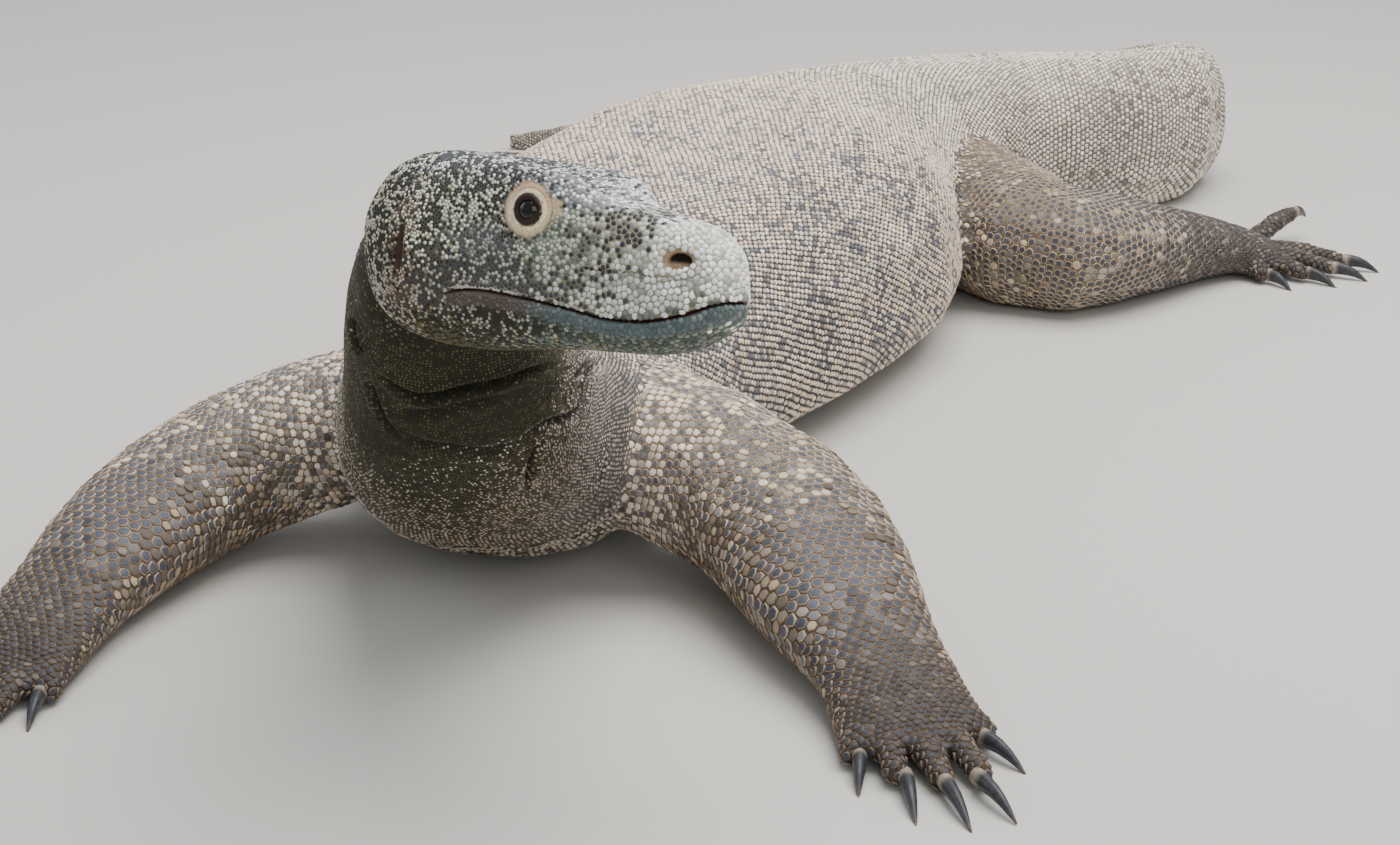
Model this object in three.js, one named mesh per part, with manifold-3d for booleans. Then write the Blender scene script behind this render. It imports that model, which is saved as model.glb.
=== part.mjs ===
// Komodo dragon lying on its belly, with its head raised and turned to its left.
// Millimetres, +Z up. The trunk lies along Y, the animal faces -Y and its left side is +X.
// The ground is z = 0, and the origin lies on it under the middle of the trunk.
// Each stretch of the body is a loft along a smooth line, parted from its neighbours by thin cuts.

import * as THREE from 'three';
import { mergeVertices } from 'three/addons/utils/BufferGeometryUtils.js';
import Module from 'manifold-3d';

const wasm = await Module();
wasm.setup();

// ---------------------------------------------------------------- driving dimensions

const GAP = 0.3;                 // width of every parting cut
const SPINE_FACETS = { sides: 18, rings: 34 };
const LIMB_FACETS = { sides: 12, rings: 10 };
const TOE_FACETS = { sides: 6, rings: 6 };
const HEAD_FACETS = { sides: 22, rings: 16 };
const BALL_FACETS = { round: 8, down: 5 };
const MOUTH_STEPS = 12;

// Spine, from inside the head to the tip of the tail.
// at: middle of the section; wide: half width; up, down: reach above and below the middle.
const SPINE = [
  { at: [156, -640, 312], wide: 48, up: 38, down: 40 },
  { at: [145, -626, 288], wide: 58, up: 44, down: 56 },
  { at: [128, -595, 246], wide: 66, up: 48, down: 66 },
  { at: [105, -547, 194], wide: 75, up: 52, down: 76 },
  { at: [80, -484, 148], wide: 94, up: 56, down: 90 },
  { at: [54, -410, 108], wide: 118, up: 72, down: 98 },
  { at: [26, -300, 86], wide: 144, up: 100, down: 94 },
  { at: [6, -180, 70], wide: 172, up: 128, down: 78 },
  { at: [0, -50, 62], wide: 198, up: 144, down: 70 },
  { at: [0, 80, 60], wide: 205, up: 146, down: 68 },
  { at: [2, 190, 62], wide: 186, up: 140, down: 70 },
  { at: [12, 300, 72], wide: 136, up: 118, down: 78 },
  { at: [36, 400, 78], wide: 104, up: 100, down: 84 },
  { at: [84, 488, 80], wide: 84, up: 90, down: 85 },
  { at: [150, 552, 78], wide: 70, up: 86, down: 82 },
  { at: [208, 618, 74], wide: 60, up: 84, down: 78 },
  { at: [232, 706, 68], wide: 53, up: 82, down: 71 },
  { at: [190, 784, 58], wide: 47, up: 72, down: 61 },
  { at: [92, 806, 47], wide: 40, up: 52, down: 50 },
  { at: [-20, 776, 38], wide: 33, up: 42, down: 41 },
  { at: [-128, 728, 31], wide: 27, up: 34, down: 34 },
  { at: [-232, 672, 25], wide: 21, up: 27, down: 28 },
  { at: [-326, 616, 19], wide: 16, up: 21, down: 22 },
  { at: [-404, 566, 13], wide: 11, up: 14, down: 16 },
  { at: [-462, 540, 8], wide: 6, up: 8, down: 10 },
];
const TRUNK_ROUNDNESS = 0.82;    // 1 is an oval, less is squarer
// Neck, trunk and tail are parted by cuts square to `along`.
const SPINE_CUTS = [
  { at: [80, -484, 150], along: [-0.3, 0.8, -0.5], reach: 180 },
  { at: [14, -250, 0], along: [0, 1, 0], reach: 240 },
  { at: [0, 150, 0], along: [0, 1, 0], reach: 240 },
  { at: [96, 502, 60], along: [0.68, 0.73, 0], reach: 140 },
  { at: [232, 690, 60], along: [0.1, 1, 0], reach: 110 },
  { at: [-20, 776, 38], along: [-1, -0.35, 0], reach: 70 },
  { at: [-232, 672, 25], along: [-1, -0.55, 0], reach: 60 },
];
// A point inside each piece.
const SPINE_PIECES = {
  neck: [104, -546, 194],
  chest: [54, -400, 118],
  belly: [0, 0, 80],
  hips: [36, 400, 80],
  tail_1: [180, 590, 70],
  tail_2: [150, 800, 50],
  tail_3: [-128, 728, 31],
  tail_4: [-326, 616, 19],
};

// The head has its own frame: x forward, y left, z up, from the point midway between the ears.
const HEAD_AT = [177, -656, 325];
const HEAD_YAW = -14;            // degrees from +X towards +Y
const HEAD_PITCH = 6;            // nose up
const HEAD_ROLL = 15;            // crown tips to the animal's left
// x: station; top, low: heights of crown and underside;
// brow, cheek, jaw: [half width, height] of the three edges down each side
const HEAD = [
  { x: -52, top: 18, brow: [16, 16], cheek: [26, 0], jaw: [17, -22], low: -26 },
  { x: -40, top: 33, brow: [27, 28], cheek: [42, 3], jaw: [30, -34], low: -42 },
  { x: -22, top: 43, brow: [34, 37], cheek: [53, 3], jaw: [43, -44], low: -56 },
  { x: 2, top: 46, brow: [38, 41], cheek: [57, 1], jaw: [48, -47], low: -61 },
  { x: 28, top: 44, brow: [39, 42], cheek: [53, -2], jaw: [46, -48], low: -61 },
  { x: 54, top: 38, brow: [39, 43], cheek: [47, -4], jaw: [42, -47], low: -58 },
  { x: 75, top: 34, brow: [38, 41], cheek: [42, -6], jaw: [38, -46], low: -55 },
  { x: 93, top: 30, brow: [35, 37], cheek: [37, -9], jaw: [34, -45], low: -53 },
  { x: 112, top: 26, brow: [26, 27], cheek: [33, -12], jaw: [31, -44], low: -52 },
  { x: 133, top: 22, brow: [22, 22], cheek: [30, -12], jaw: [28, -43], low: -51 },
  { x: 154, top: 20, brow: [21, 18], cheek: [28, -12], jaw: [26, -42], low: -49 },
  { x: 172, top: 18, brow: [19, 14], cheek: [25, -10], jaw: [22, -37], low: -44 },
  { x: 185, top: 10, brow: [14, 7], cheek: [19, -11], jaw: [16, -30], low: -36 },
  { x: 193, top: -2, brow: [7, -4], cheek: [10, -12], jaw: [8, -23], low: -25 },
];
const EYE = { x: 80, y: 34, z: 19, radius: 10 };
const NOSTRIL = { x: 172, y: 21, z: 1, long: 7, high: 4.5, deep: 7 };
const EAR = { x: 2, y: 57, z: -8, long: 3.5, high: 17, deep: 6 };
// Line of the closed mouth and back of the jaw, from the nose to the throat: [x, z].
const MOUTH = [
  [214, -12], [202, -15], [190, -20], [176, -27], [156, -32], [132, -33], [106, -30],
  [78, -27], [52, -26], [34, -30], [20, -41], [12, -58], [8, -84],
];

// Legs, from inside the body to the knuckles.
const ARM_LEFT = [
  { at: [100, -396, 112], wide: 66, up: 50, down: 60 },
  { at: [160, -374, 94], wide: 66, up: 52, down: 66 },
  { at: [218, -370, 76], wide: 66, up: 46, down: 70 },
  { at: [268, -396, 60], wide: 66, up: 42, down: 64 },
  { at: [308, -435, 48], wide: 62, up: 36, down: 52 },
  { at: [342, -472, 38], wide: 53, up: 29, down: 42 },
  { at: [374, -504, 28], wide: 45, up: 22, down: 31 },
  { at: [402, -536, 20], wide: 46, up: 17, down: 23 },
  { at: [424, -562, 14], wide: 36, up: 10, down: 15 },
];
const ARM_RIGHT = [
  { at: [-4, -404, 110], wide: 62, up: 46, down: 60 },
  { at: [-70, -420, 94], wide: 58, up: 44, down: 66 },
  { at: [-120, -450, 76], wide: 55, up: 41, down: 68 },
  { at: [-146, -496, 60], wide: 56, up: 38, down: 62 },
  { at: [-152, -550, 48], wide: 55, up: 34, down: 51 },
  { at: [-150, -602, 38], wide: 49, up: 28, down: 41 },
  { at: [-146, -646, 28], wide: 43, up: 22, down: 31 },
  { at: [-141, -690, 20], wide: 46, up: 17, down: 23 },
  { at: [-138, -724, 14], wide: 36, up: 10, down: 15 },
];
const LEG_LEFT = [
  { at: [58, 380, 80], wide: 73, up: 50, down: 79 },
  { at: [130, 342, 74], wide: 78, up: 50, down: 80 },
  { at: [190, 294, 68], wide: 76, up: 52, down: 74 },
  { at: [234, 284, 62], wide: 70, up: 50, down: 66 },
  { at: [272, 320, 56], wide: 61, up: 43, down: 59 },
  { at: [304, 372, 44], wide: 48, up: 34, down: 46 },
  { at: [332, 420, 33], wide: 39, up: 27, down: 35 },
  { at: [356, 456, 24], wide: 43, up: 19, down: 26 },
  { at: [384, 478, 16], wide: 36, up: 12, down: 17 },
];
const LEG_RIGHT = [
  { at: [-36, 378, 80], wide: 74, up: 50, down: 80 },
  { at: [-106, 344, 74], wide: 78, up: 50, down: 80 },
  { at: [-170, 290, 68], wide: 75, up: 51, down: 74 },
  { at: [-220, 270, 62], wide: 69, up: 49, down: 66 },
  { at: [-262, 298, 56], wide: 60, up: 42, down: 59 },
  { at: [-292, 342, 44], wide: 48, up: 34, down: 46 },
  { at: [-317, 388, 33], wide: 39, up: 27, down: 35 },
  { at: [-344, 420, 24], wide: 43, up: 19, down: 26 },
  { at: [-374, 438, 16], wide: 36, up: 12, down: 17 },
];

// Toes, first to fifth, in the foot's frame from the middle of its knuckles.
// along, across: where the toe leaves the foot; turn: degrees outwards; long: toe; claw: claw;
// lift: how much higher the toe's end is held than one that lies on the ground.
const HAND_TOES = [
  { along: -14, across: -34, turn: -12, long: 38, claw: 33 },
  { along: 8, across: -20, turn: -5, long: 46, claw: 42 },
  { along: 12, across: 0, turn: 0, long: 56, claw: 44 },
  { along: 6, across: 20, turn: 4, long: 64, claw: 42 },
  { along: -22, across: 36, turn: 14, long: 44, claw: 38 },
];
const FOOT_TOES = [
  { along: -10, across: -30, turn: -26, long: 38, claw: 28 },
  { along: 6, across: -17, turn: -14, long: 54, claw: 31 },
  { along: 10, across: 0, turn: -6, long: 72, claw: 33 },
  { along: 4, across: 17, turn: 1, long: 86, claw: 33 },
  { along: 0, across: 32, turn: 62, long: 72, claw: 26, lift: 20 },
];
const TOE = {
  root: { back: 16, radius: 10, height: 12 },
  knuckle: { share: 0.5, radius: 9, height: 14 },
  end: { radius: 6.6, height: 9 },
};
const CLAW = { wide: 3.6, high: 5.2, height: 11 };
// share: of the claw's length; size, height: against those of its root.
const CLAW_STATIONS = [
  { share: 0.14, size: 1, height: 1 },
  { share: 0.6, size: 0.66, height: 0.75 },
  { share: 0.97, size: 0.14, height: 0.11 },
];

// Feet: middle of the knuckles, and the heading in degrees from +X.
const FEET = {
  hand_left: { at: [406, -545], heading: -49, toes: HAND_TOES, side: 1 },
  hand_right: { at: [-140, -706], heading: -87, toes: HAND_TOES, side: -1 },
  foot_left: { at: [368, 466], heading: 8, toes: FOOT_TOES, side: 1 },
  foot_right: { at: [-356, 428], heading: 160, toes: FOOT_TOES, side: -1 },
};

// Each limb is parted at its elbow or knee, and at its wrist or ankle: the stations of the cuts.
const LIMB_JOINT = 3;
const LIMB_END = 6;
const LIMBS = [
  {
    stations: ARM_LEFT, foot: 'hand_left',
    names: ['upper_arm_left', 'forearm_left', 'hand_left'],
  },
  {
    stations: ARM_RIGHT, foot: 'hand_right',
    names: ['upper_arm_right', 'forearm_right', 'hand_right'],
  },
  { stations: LEG_LEFT, foot: 'foot_left', names: ['thigh_left', 'shin_left', 'foot_left'] },
  { stations: LEG_RIGHT, foot: 'foot_right', names: ['thigh_right', 'shin_right', 'foot_right'] },
];

// ---------------------------------------------------------------- tools

const UP = new THREE.Vector3(0, 0, 1);
const vector = (point) => new THREE.Vector3(...point);

function solid(geometry) {
  const bare = geometry.clone();
  bare.deleteAttribute('normal');
  bare.deleteAttribute('uv');
  const welded = mergeVertices(bare, 1e-4);
  return new wasm.Manifold(new wasm.Mesh({
    numProp: 3,
    vertProperties: new Float32Array(welded.attributes.position.array),
    triVerts: new Uint32Array(welded.index.array),
  }));
}

function geometryOf(manifold) {
  const mesh = manifold.getMesh();
  const geometry = new THREE.BufferGeometry();
  geometry.setAttribute('position', new THREE.BufferAttribute(mesh.vertProperties, 3));
  geometry.setIndex(new THREE.BufferAttribute(mesh.triVerts, 1));
  geometry.computeVertexNormals();
  return geometry;
}

// A closed skin over a row of rings that all have the same number of points.
function loft(rings) {
  const sides = rings[0].length;
  const points = rings.flat();
  for (const ring of [rings[0], rings.at(-1)]) {
    const middle = new THREE.Vector3();
    ring.forEach((point) => middle.addScaledVector(point, 1 / sides));
    points.push(middle);
  }
  const faces = [];
  for (let row = 0; row + 1 < rings.length; row += 1) {
    for (let side = 0; side < sides; side += 1) {
      const a = row * sides + side;
      const b = row * sides + (side + 1) % sides;
      faces.push(a, a + sides, b, b, a + sides, b + sides);
    }
  }
  const lastRing = (rings.length - 1) * sides;
  for (let side = 0; side < sides; side += 1) {
    const next = (side + 1) % sides;
    faces.push(points.length - 2, side, next);
    faces.push(points.length - 1, lastRing + next, lastRing + side);
  }
  const geometry = new THREE.BufferGeometry().setFromPoints(points);
  geometry.setIndex(faces);
  return geometry;
}

// One oval ring across a line that runs forward; a roundness under 1 squares it.
function sectionRing(middle, forward, size, sides, roundness) {
  const across = new THREE.Vector3().crossVectors(forward, UP).normalize();
  const above = new THREE.Vector3().crossVectors(across, forward).normalize();
  const ring = [];
  for (let side = 0; side < sides; side += 1) {
    const angle = (side / sides) * 2 * Math.PI;
    const c = Math.cos(angle);
    const s = Math.sin(angle);
    const wide = Math.sign(c) * Math.abs(c) ** roundness * size.wide;
    const high = Math.sign(s) * Math.abs(s) ** roundness * (s > 0 ? size.up : size.down);
    ring.push(middle.clone().addScaledVector(across, wide).addScaledVector(above, high));
  }
  return ring;
}

// A loft along a smooth line through the stations.
// `grow` swells it, for cutting its neighbours back by the width of the parting cut.
function stationLoft(stations, { sides, rings: count }, { roundness = 1, grow = 0 } = {}) {
  const path = new THREE.CatmullRomCurve3(stations.map((station) => vector(station.at)));
  const sizes = new THREE.CatmullRomCurve3(
    stations.map(({ wide, up, down }) => new THREE.Vector3(wide, up, down)));
  const rings = [];
  for (let step = 0; step <= count; step += 1) {
    const place = step / count;
    const [wide, up, down] = sizes.getPoint(place).addScalar(grow).toArray();
    rings.push(sectionRing(
      path.getPoint(place), path.getTangent(place), { wide, up, down }, sides, roundness));
  }
  return solid(loft(rings));
}

// A flat thin cut through a point, square to a direction and reaching `reach` each way.
function slab(at, direction, reach, thickness = GAP) {
  const turn = new THREE.Quaternion().setFromUnitVectors(UP, vector(direction).normalize());
  const geometry = new THREE.BoxGeometry(2 * reach, 2 * reach, thickness);
  geometry.applyQuaternion(turn);
  geometry.translate(...at);
  return solid(geometry);
}

// The one piece of a cut solid that holds a point.
function pieceAt(manifold, point) {
  const probe = solid(new THREE.IcosahedronGeometry(1, 0).translate(...point));
  const found = manifold.decompose().find((piece) => !piece.intersect(probe).isEmpty());
  if (!found) throw new Error(`no piece at ${point}`);
  return found;
}

const belowGround = solid(new THREE.BoxGeometry(4000, 4000, 400).translate(0, 0, -200));

// ---------------------------------------------------------------- head

const headMatrix = new THREE.Matrix4().makeTranslation(...HEAD_AT).multiply(
  new THREE.Matrix4().makeRotationFromEuler(new THREE.Euler(
    THREE.MathUtils.degToRad(-HEAD_ROLL),
    THREE.MathUtils.degToRad(-HEAD_PITCH),
    THREE.MathUtils.degToRad(HEAD_YAW), 'ZYX')));
const inHead = (x, y, z) => new THREE.Vector3(x, y, z).applyMatrix4(headMatrix).toArray();

function headRing({ x, top, brow, cheek, jaw, low }) {
  const half = [[0, top], brow, cheek, jaw];
  const left = half.map(([wide, high]) => new THREE.Vector3(x, wide, high));
  const right = half.slice(1).reverse().map(([wide, high]) => new THREE.Vector3(x, -wide, high));
  const outline = new THREE.CatmullRomCurve3(
    [...left, new THREE.Vector3(x, 0, low), ...right], true);
  const ring = [];
  for (let side = 0; side < HEAD_FACETS.sides; side += 1) {
    ring.push(outline.getPoint(side / HEAD_FACETS.sides));
  }
  return ring;
}

// Evenly spread sections, by a smooth curve through each of the stations' numbers.
function headRings(grow) {
  const numbers = ({ x, top, brow, cheek, jaw, low }) => [x, top, ...brow, ...cheek, ...jaw, low];
  const rows = HEAD.map(numbers);
  const curves = rows[0].map((unused, column) => new THREE.SplineCurve(
    rows.map((row, index) => new THREE.Vector2(index, row[column]))));
  const rings = [];
  for (let step = 0; step <= HEAD_FACETS.rings; step += 1) {
    const [x, top, browWide, browHigh, cheekWide, cheekHigh, jawWide, jawHigh, low] =
      curves.map((curve) => curve.getPoint(step / HEAD_FACETS.rings).y);
    rings.push(headRing({
      x,
      top: top + grow,
      brow: [browWide + grow, browHigh],
      cheek: [cheekWide + grow, cheekHigh],
      jaw: [jawWide + grow, jawHigh],
      low: low - grow,
    }));
  }
  return rings;
}

function headSolid(grow = 0) {
  return solid(loft(headRings(grow)).applyMatrix4(headMatrix));
}

function ball({ x, y, z }, side, [long, deep, high]) {
  const geometry = new THREE.SphereGeometry(1, BALL_FACETS.round, BALL_FACETS.down);
  geometry.rotateX(Math.PI / 2);
  geometry.scale(long, deep, high);
  geometry.translate(x, side * y, z);
  return solid(geometry.applyMatrix4(headMatrix));
}

// A thin sheet that follows the mouth line through the whole width of the head.
function mouthCut() {
  const line = new THREE.CatmullRomCurve3(MOUTH.map(([x, z]) => new THREE.Vector3(x, 0, z)));
  const rings = [];
  const reach = 110;
  for (let step = 0; step <= MOUTH_STEPS; step += 1) {
    const middle = line.getPoint(step / MOUTH_STEPS);
    const forward = line.getTangent(step / MOUTH_STEPS);
    const off = new THREE.Vector3(-forward.z, 0, forward.x).multiplyScalar(GAP / 2);
    rings.push([[1, 1], [1, -1], [-1, -1], [-1, 1]].map(([across, above]) => middle.clone()
      .addScaledVector(off, above).setY(across * reach)));
  }
  return solid(loft(rings).applyMatrix4(headMatrix));
}

// ---------------------------------------------------------------- feet

// A point on a toe's middle line, by its distance out from the foot and its height.
function toePoint(foot, toe, distance, height) {
  const heading = THREE.MathUtils.degToRad(foot.heading);
  const turned = heading + THREE.MathUtils.degToRad(toe.turn * foot.side);
  return new THREE.Vector3(...foot.at, height)
    .add(new THREE.Vector3(toe.along, toe.across * foot.side, 0).applyAxisAngle(UP, heading))
    .add(new THREE.Vector3(distance, 0, 0).applyAxisAngle(UP, turned));
}

// A toe and its claw in one loft, from inside the foot.
function toeSolid(foot, toe) {
  const { root, knuckle, end } = TOE;
  const lift = toe.lift ?? 0;
  const place = (distance, height, wide, high = wide) => ({
    at: toePoint(foot, toe, distance, height).toArray(), wide, up: high, down: high,
  });
  return stationLoft([
    place(-root.back, root.height, root.radius),
    place(0, knuckle.height + lift * 0.1, root.radius),
    place(toe.long * knuckle.share, knuckle.height + lift * 0.5, knuckle.radius),
    place(toe.long, end.height + lift, end.radius),
    ...CLAW_STATIONS.map(({ share, size, height }) => place(
      toe.long + toe.claw * share, CLAW.height * height + lift, CLAW.wide * size, CLAW.high * size)),
  ], TOE_FACETS);
}

// The cut between a toe and its claw.
function clawCut(foot, toe) {
  const at = toePoint(foot, toe, toe.long + 1, TOE.end.height + (toe.lift ?? 0));
  const direction = at.clone().sub(toePoint(foot, toe, 0, at.z));
  return slab(at.toArray(), direction.toArray(), 14);
}

// ---------------------------------------------------------------- assembly

const COLORS = {
  scales: 0x8b7d6b, limb: 0x5f5c58, head: 0x6f757a, jaw: 0x6c7a72, claw: 0x24262b, eye: 0x1d1410,
};
const model = new THREE.Group();

function addNode(name, manifold, color, roughness = 0.75) {
  const above = manifold.subtract(belowGround);
  const material = new THREE.MeshStandardMaterial({ color, roughness, metalness: 0 });
  const mesh = new THREE.Mesh(geometryOf(above), material);
  mesh.name = name;
  model.add(mesh);
}

const spine = stationLoft(SPINE, SPINE_FACETS, { roundness: TRUNK_ROUNDNESS });
const spineGrown = stationLoft(SPINE, SPINE_FACETS, { roundness: TRUNK_ROUNDNESS, grow: GAP });
const headWhole = headSolid();
const headGrown = headSolid(GAP);

// Head and jaw.
const cavities = [];
for (const side of [1, -1]) {
  const socket = EYE.radius + GAP;
  cavities.push(ball(EYE, side, [socket, socket, socket]));
  cavities.push(ball(NOSTRIL, side, [NOSTRIL.long, NOSTRIL.deep, NOSTRIL.high]));
  cavities.push(ball(EAR, side, [EAR.long, EAR.deep, EAR.high]));
}
const headCut = cavities.reduce((rest, cavity) => rest.subtract(cavity), headWhole)
  .subtract(mouthCut());
addNode('head', pieceAt(headCut, inHead(30, 0, 20)), COLORS.head);
addNode('jaw', pieceAt(headCut, inHead(90, 0, -40)), COLORS.jaw);
addNode('eye_left', ball(EYE, 1, [EYE.radius, EYE.radius, EYE.radius]), COLORS.eye, 0.1);
addNode('eye_right', ball(EYE, -1, [EYE.radius, EYE.radius, EYE.radius]), COLORS.eye, 0.1);

// Neck, trunk and tail.
let spineCut = spine.subtract(headGrown);
for (const { at, along, reach } of SPINE_CUTS) {
  spineCut = spineCut.subtract(slab(at, along, reach));
}
for (const [name, point] of Object.entries(SPINE_PIECES)) {
  addNode(name, pieceAt(spineCut, point), COLORS.scales);
}

// Legs: each is a loft cut back from the trunk, with its toes joined and two cuts across it.
for (const { stations, foot: footName, names } of LIMBS) {
  const foot = FEET[footName];
  let limb = stationLoft(stations, LIMB_FACETS);
  for (const toe of foot.toes) {
    limb = limb.add(toeSolid(foot, toe));
  }
  limb = limb.subtract(spineGrown).subtract(headGrown);
  for (const toe of foot.toes) {
    limb = limb.subtract(clawCut(foot, toe));
  }
  for (const index of [LIMB_JOINT, LIMB_END]) {
    const before = vector(stations[index - 1].at);
    const direction = vector(stations[index + 1].at).sub(before).toArray();
    limb = limb.subtract(slab(stations[index].at, direction, 100));
  }
  const middle = (a, b) => vector(stations[a].at).lerp(vector(stations[b].at), 0.5).toArray();
  const seeds = [
    middle(LIMB_JOINT - 1, LIMB_JOINT), middle(LIMB_JOINT, LIMB_END), middle(LIMB_END, LIMB_END + 1),
  ];
  names.forEach((name, index) => addNode(name, pieceAt(limb, seeds[index]), COLORS.limb));
  foot.toes.forEach((toe, index) => {
    const height = CLAW.height - 1 + (toe.lift ?? 0);
    const inside = toePoint(foot, toe, toe.long + toe.claw * 0.3, height).toArray();
    addNode(`claw_${footName}_${index + 1}`, pieceAt(limb, inside), COLORS.claw, 0.35);
  });
}

export default model;
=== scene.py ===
"""A komodo dragon's looks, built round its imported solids. Metres, +Z up, the animal faces -Y.

One skin is remeshed from the solids of flesh and sculpted. Scales stand on it as small domes:
in rows round the trunk, neck, tail, legs and toes, and evenly spread over the head. Each scale
fills its own cell between its neighbours, and takes its colours from the same fields as the skin.
"""
import math
from itertools import product

import bmesh
import bpy
import numpy as np
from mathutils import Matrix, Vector
from mathutils.bvhtree import BVHTree
from mathutils.kdtree import KDTree


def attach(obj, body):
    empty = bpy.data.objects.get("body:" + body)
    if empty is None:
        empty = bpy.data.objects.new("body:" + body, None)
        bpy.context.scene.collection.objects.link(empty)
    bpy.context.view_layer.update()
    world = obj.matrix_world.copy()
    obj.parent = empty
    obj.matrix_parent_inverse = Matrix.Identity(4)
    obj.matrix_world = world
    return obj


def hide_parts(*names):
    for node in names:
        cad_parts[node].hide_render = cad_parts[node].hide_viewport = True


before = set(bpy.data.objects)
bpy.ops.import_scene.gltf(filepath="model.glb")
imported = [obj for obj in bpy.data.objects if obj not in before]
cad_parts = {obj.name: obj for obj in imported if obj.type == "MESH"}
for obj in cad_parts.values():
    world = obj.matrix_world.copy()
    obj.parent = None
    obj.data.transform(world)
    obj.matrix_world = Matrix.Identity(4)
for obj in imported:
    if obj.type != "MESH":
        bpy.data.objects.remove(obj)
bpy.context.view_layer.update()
mm = 0.001

# ---------------------------------------------------------------- camera, floor and light

PHOTO_SIZE = (1400, 845)
PHOTO_FOCAL = 2600               # pixels
CAMERA_AT = Vector((0.882, -1.872, 0.763))
CAMERA_AZIMUTH = 24.8            # degrees left of +Y
CAMERA_DOWN = 21.5


def add_camera():
    data = bpy.data.cameras.new("camera")
    data.sensor_width = 36
    data.lens = data.sensor_width * PHOTO_FOCAL / PHOTO_SIZE[0]
    camera = bpy.data.objects.new("camera", data)
    camera.location = CAMERA_AT
    camera.rotation_euler = (math.radians(90 - CAMERA_DOWN), 0, math.radians(CAMERA_AZIMUTH))
    bpy.context.collection.objects.link(camera)
    bpy.context.scene.camera = camera
    return camera


def sight(pixel):
    """Direction from the camera through a point of the 1400 x 845 picture."""
    right = pixel[0] - PHOTO_SIZE[0] / 2
    up = PHOTO_SIZE[1] / 2 - pixel[1]
    return (camera.rotation_euler.to_matrix() @ Vector((right, up, -PHOTO_FOCAL))).normalized()


def add_floor():
    size = 9
    mesh = bpy.data.meshes.new("floor")
    corners = [(-size, -size, 0), (size, -size, 0), (size, size, 0), (-size, size, 0)]
    mesh.from_pydata(corners, [], [(0, 1, 2, 3)])
    floor = bpy.data.objects.new("floor", mesh)
    floor.location.z = -0.4 * mm
    material = bpy.data.materials.new("floor")
    material.use_nodes = True
    shader = material.node_tree.nodes["Principled BSDF"]
    shader.inputs["Base Color"].default_value = (0.62, 0.61, 0.58, 1)
    shader.inputs["Roughness"].default_value = 0.9
    mesh.materials.append(material)
    bpy.context.collection.objects.link(floor)


def add_area_light(name, place, aim, size, watts, color):
    data = bpy.data.lights.new(name, "AREA")
    data.size = size
    data.energy = watts
    data.color = color
    light = bpy.data.objects.new(name, data)
    light.location = place
    light.rotation_euler = (Vector(aim) - Vector(place)).to_track_quat("-Z", "Y").to_euler()
    bpy.context.collection.objects.link(light)


def add_light():
    world = bpy.data.worlds.new("studio")
    world.use_nodes = True
    background = world.node_tree.nodes["Background"]
    background.inputs["Color"].default_value = (0.95, 0.97, 1, 1)
    background.inputs["Strength"].default_value = 0.55
    bpy.context.scene.world = world
    middle = (0, -0.1, 0.1)
    add_area_light("overhead", (0.6, 0.2, 2.5), middle, 2.2, 104, (1, 0.97, 0.93))
    add_area_light("front", (1.9, -2.2, 1.7), middle, 1.6, 18, (1, 0.98, 0.95))
    add_area_light("side", (-2.4, -1.0, 1.4), middle, 1.6, 12, (0.92, 0.96, 1))


camera = add_camera()
bpy.context.view_layer.update()
add_floor()
add_light()

# ---------------------------------------------------------------- tools


def noise(points, size, seed=0):
    """Smooth noise from -1 to 1, with lumps about `size` across."""
    scaled = points / size + seed * 17.31
    cell = np.floor(scaled).astype(np.int64)
    part = scaled - cell
    part = part * part * (3 - 2 * part)
    total = np.zeros(len(points))
    for corner in product((0, 1), repeat=3):
        weight = np.prod(np.where(corner, part, 1 - part), axis=1)
        x, y, z = (cell + corner).T
        mixed = (x * 73856093) ^ (y * 19349663) ^ (z * 83492791)
        mixed = (mixed ^ (mixed >> 13)) * 1274126177
        mixed ^= mixed >> 16
        total += weight * ((mixed & 0xFFFF) / 0x7FFF - 1)
    return total


def step(low, high, value):
    """0 below `low`, 1 above `high`, smooth between."""
    part = np.clip((value - low) / (high - low), 0, 1)
    return part * part * (3 - 2 * part)


def unit(vectors):
    return vectors / np.maximum(np.linalg.norm(vectors, axis=-1, keepdims=True), 1e-12)


def mixed(a, b, share):
    return a + (b - a) * share


def smooth_line(points, count):
    """`count` points, evenly spread, on a smooth line through the given ones."""
    points = np.array(points, float)
    ends = 2 * points[[0, -1]] - points[[1, -2]]
    padded = np.vstack([ends[:1], points, ends[1:]])
    rows = []
    for t in np.linspace(0, len(points) - 1, 12 * len(points)):
        i = min(int(t), len(points) - 2)
        u = t - i
        p0, p1, p2, p3 = padded[i:i + 4]
        rows.append(0.5 * (2 * p1 + (p2 - p0) * u + (2 * p0 - 5 * p1 + 4 * p2 - p3) * u ** 2
                           + (3 * p1 - p0 - 3 * p2 + p3) * u ** 3))
    rows = np.array(rows)
    along = np.append(0, np.cumsum(np.linalg.norm(np.diff(rows, axis=0), axis=1)))
    places = np.linspace(0, along[-1], count)
    return np.stack([np.interp(places, along, rows[:, k]) for k in range(3)], 1)


def mesh_points(mesh):
    values = np.empty(len(mesh.vertices) * 3)
    mesh.vertices.foreach_get("co", values)
    return values.reshape(-1, 3)


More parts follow.
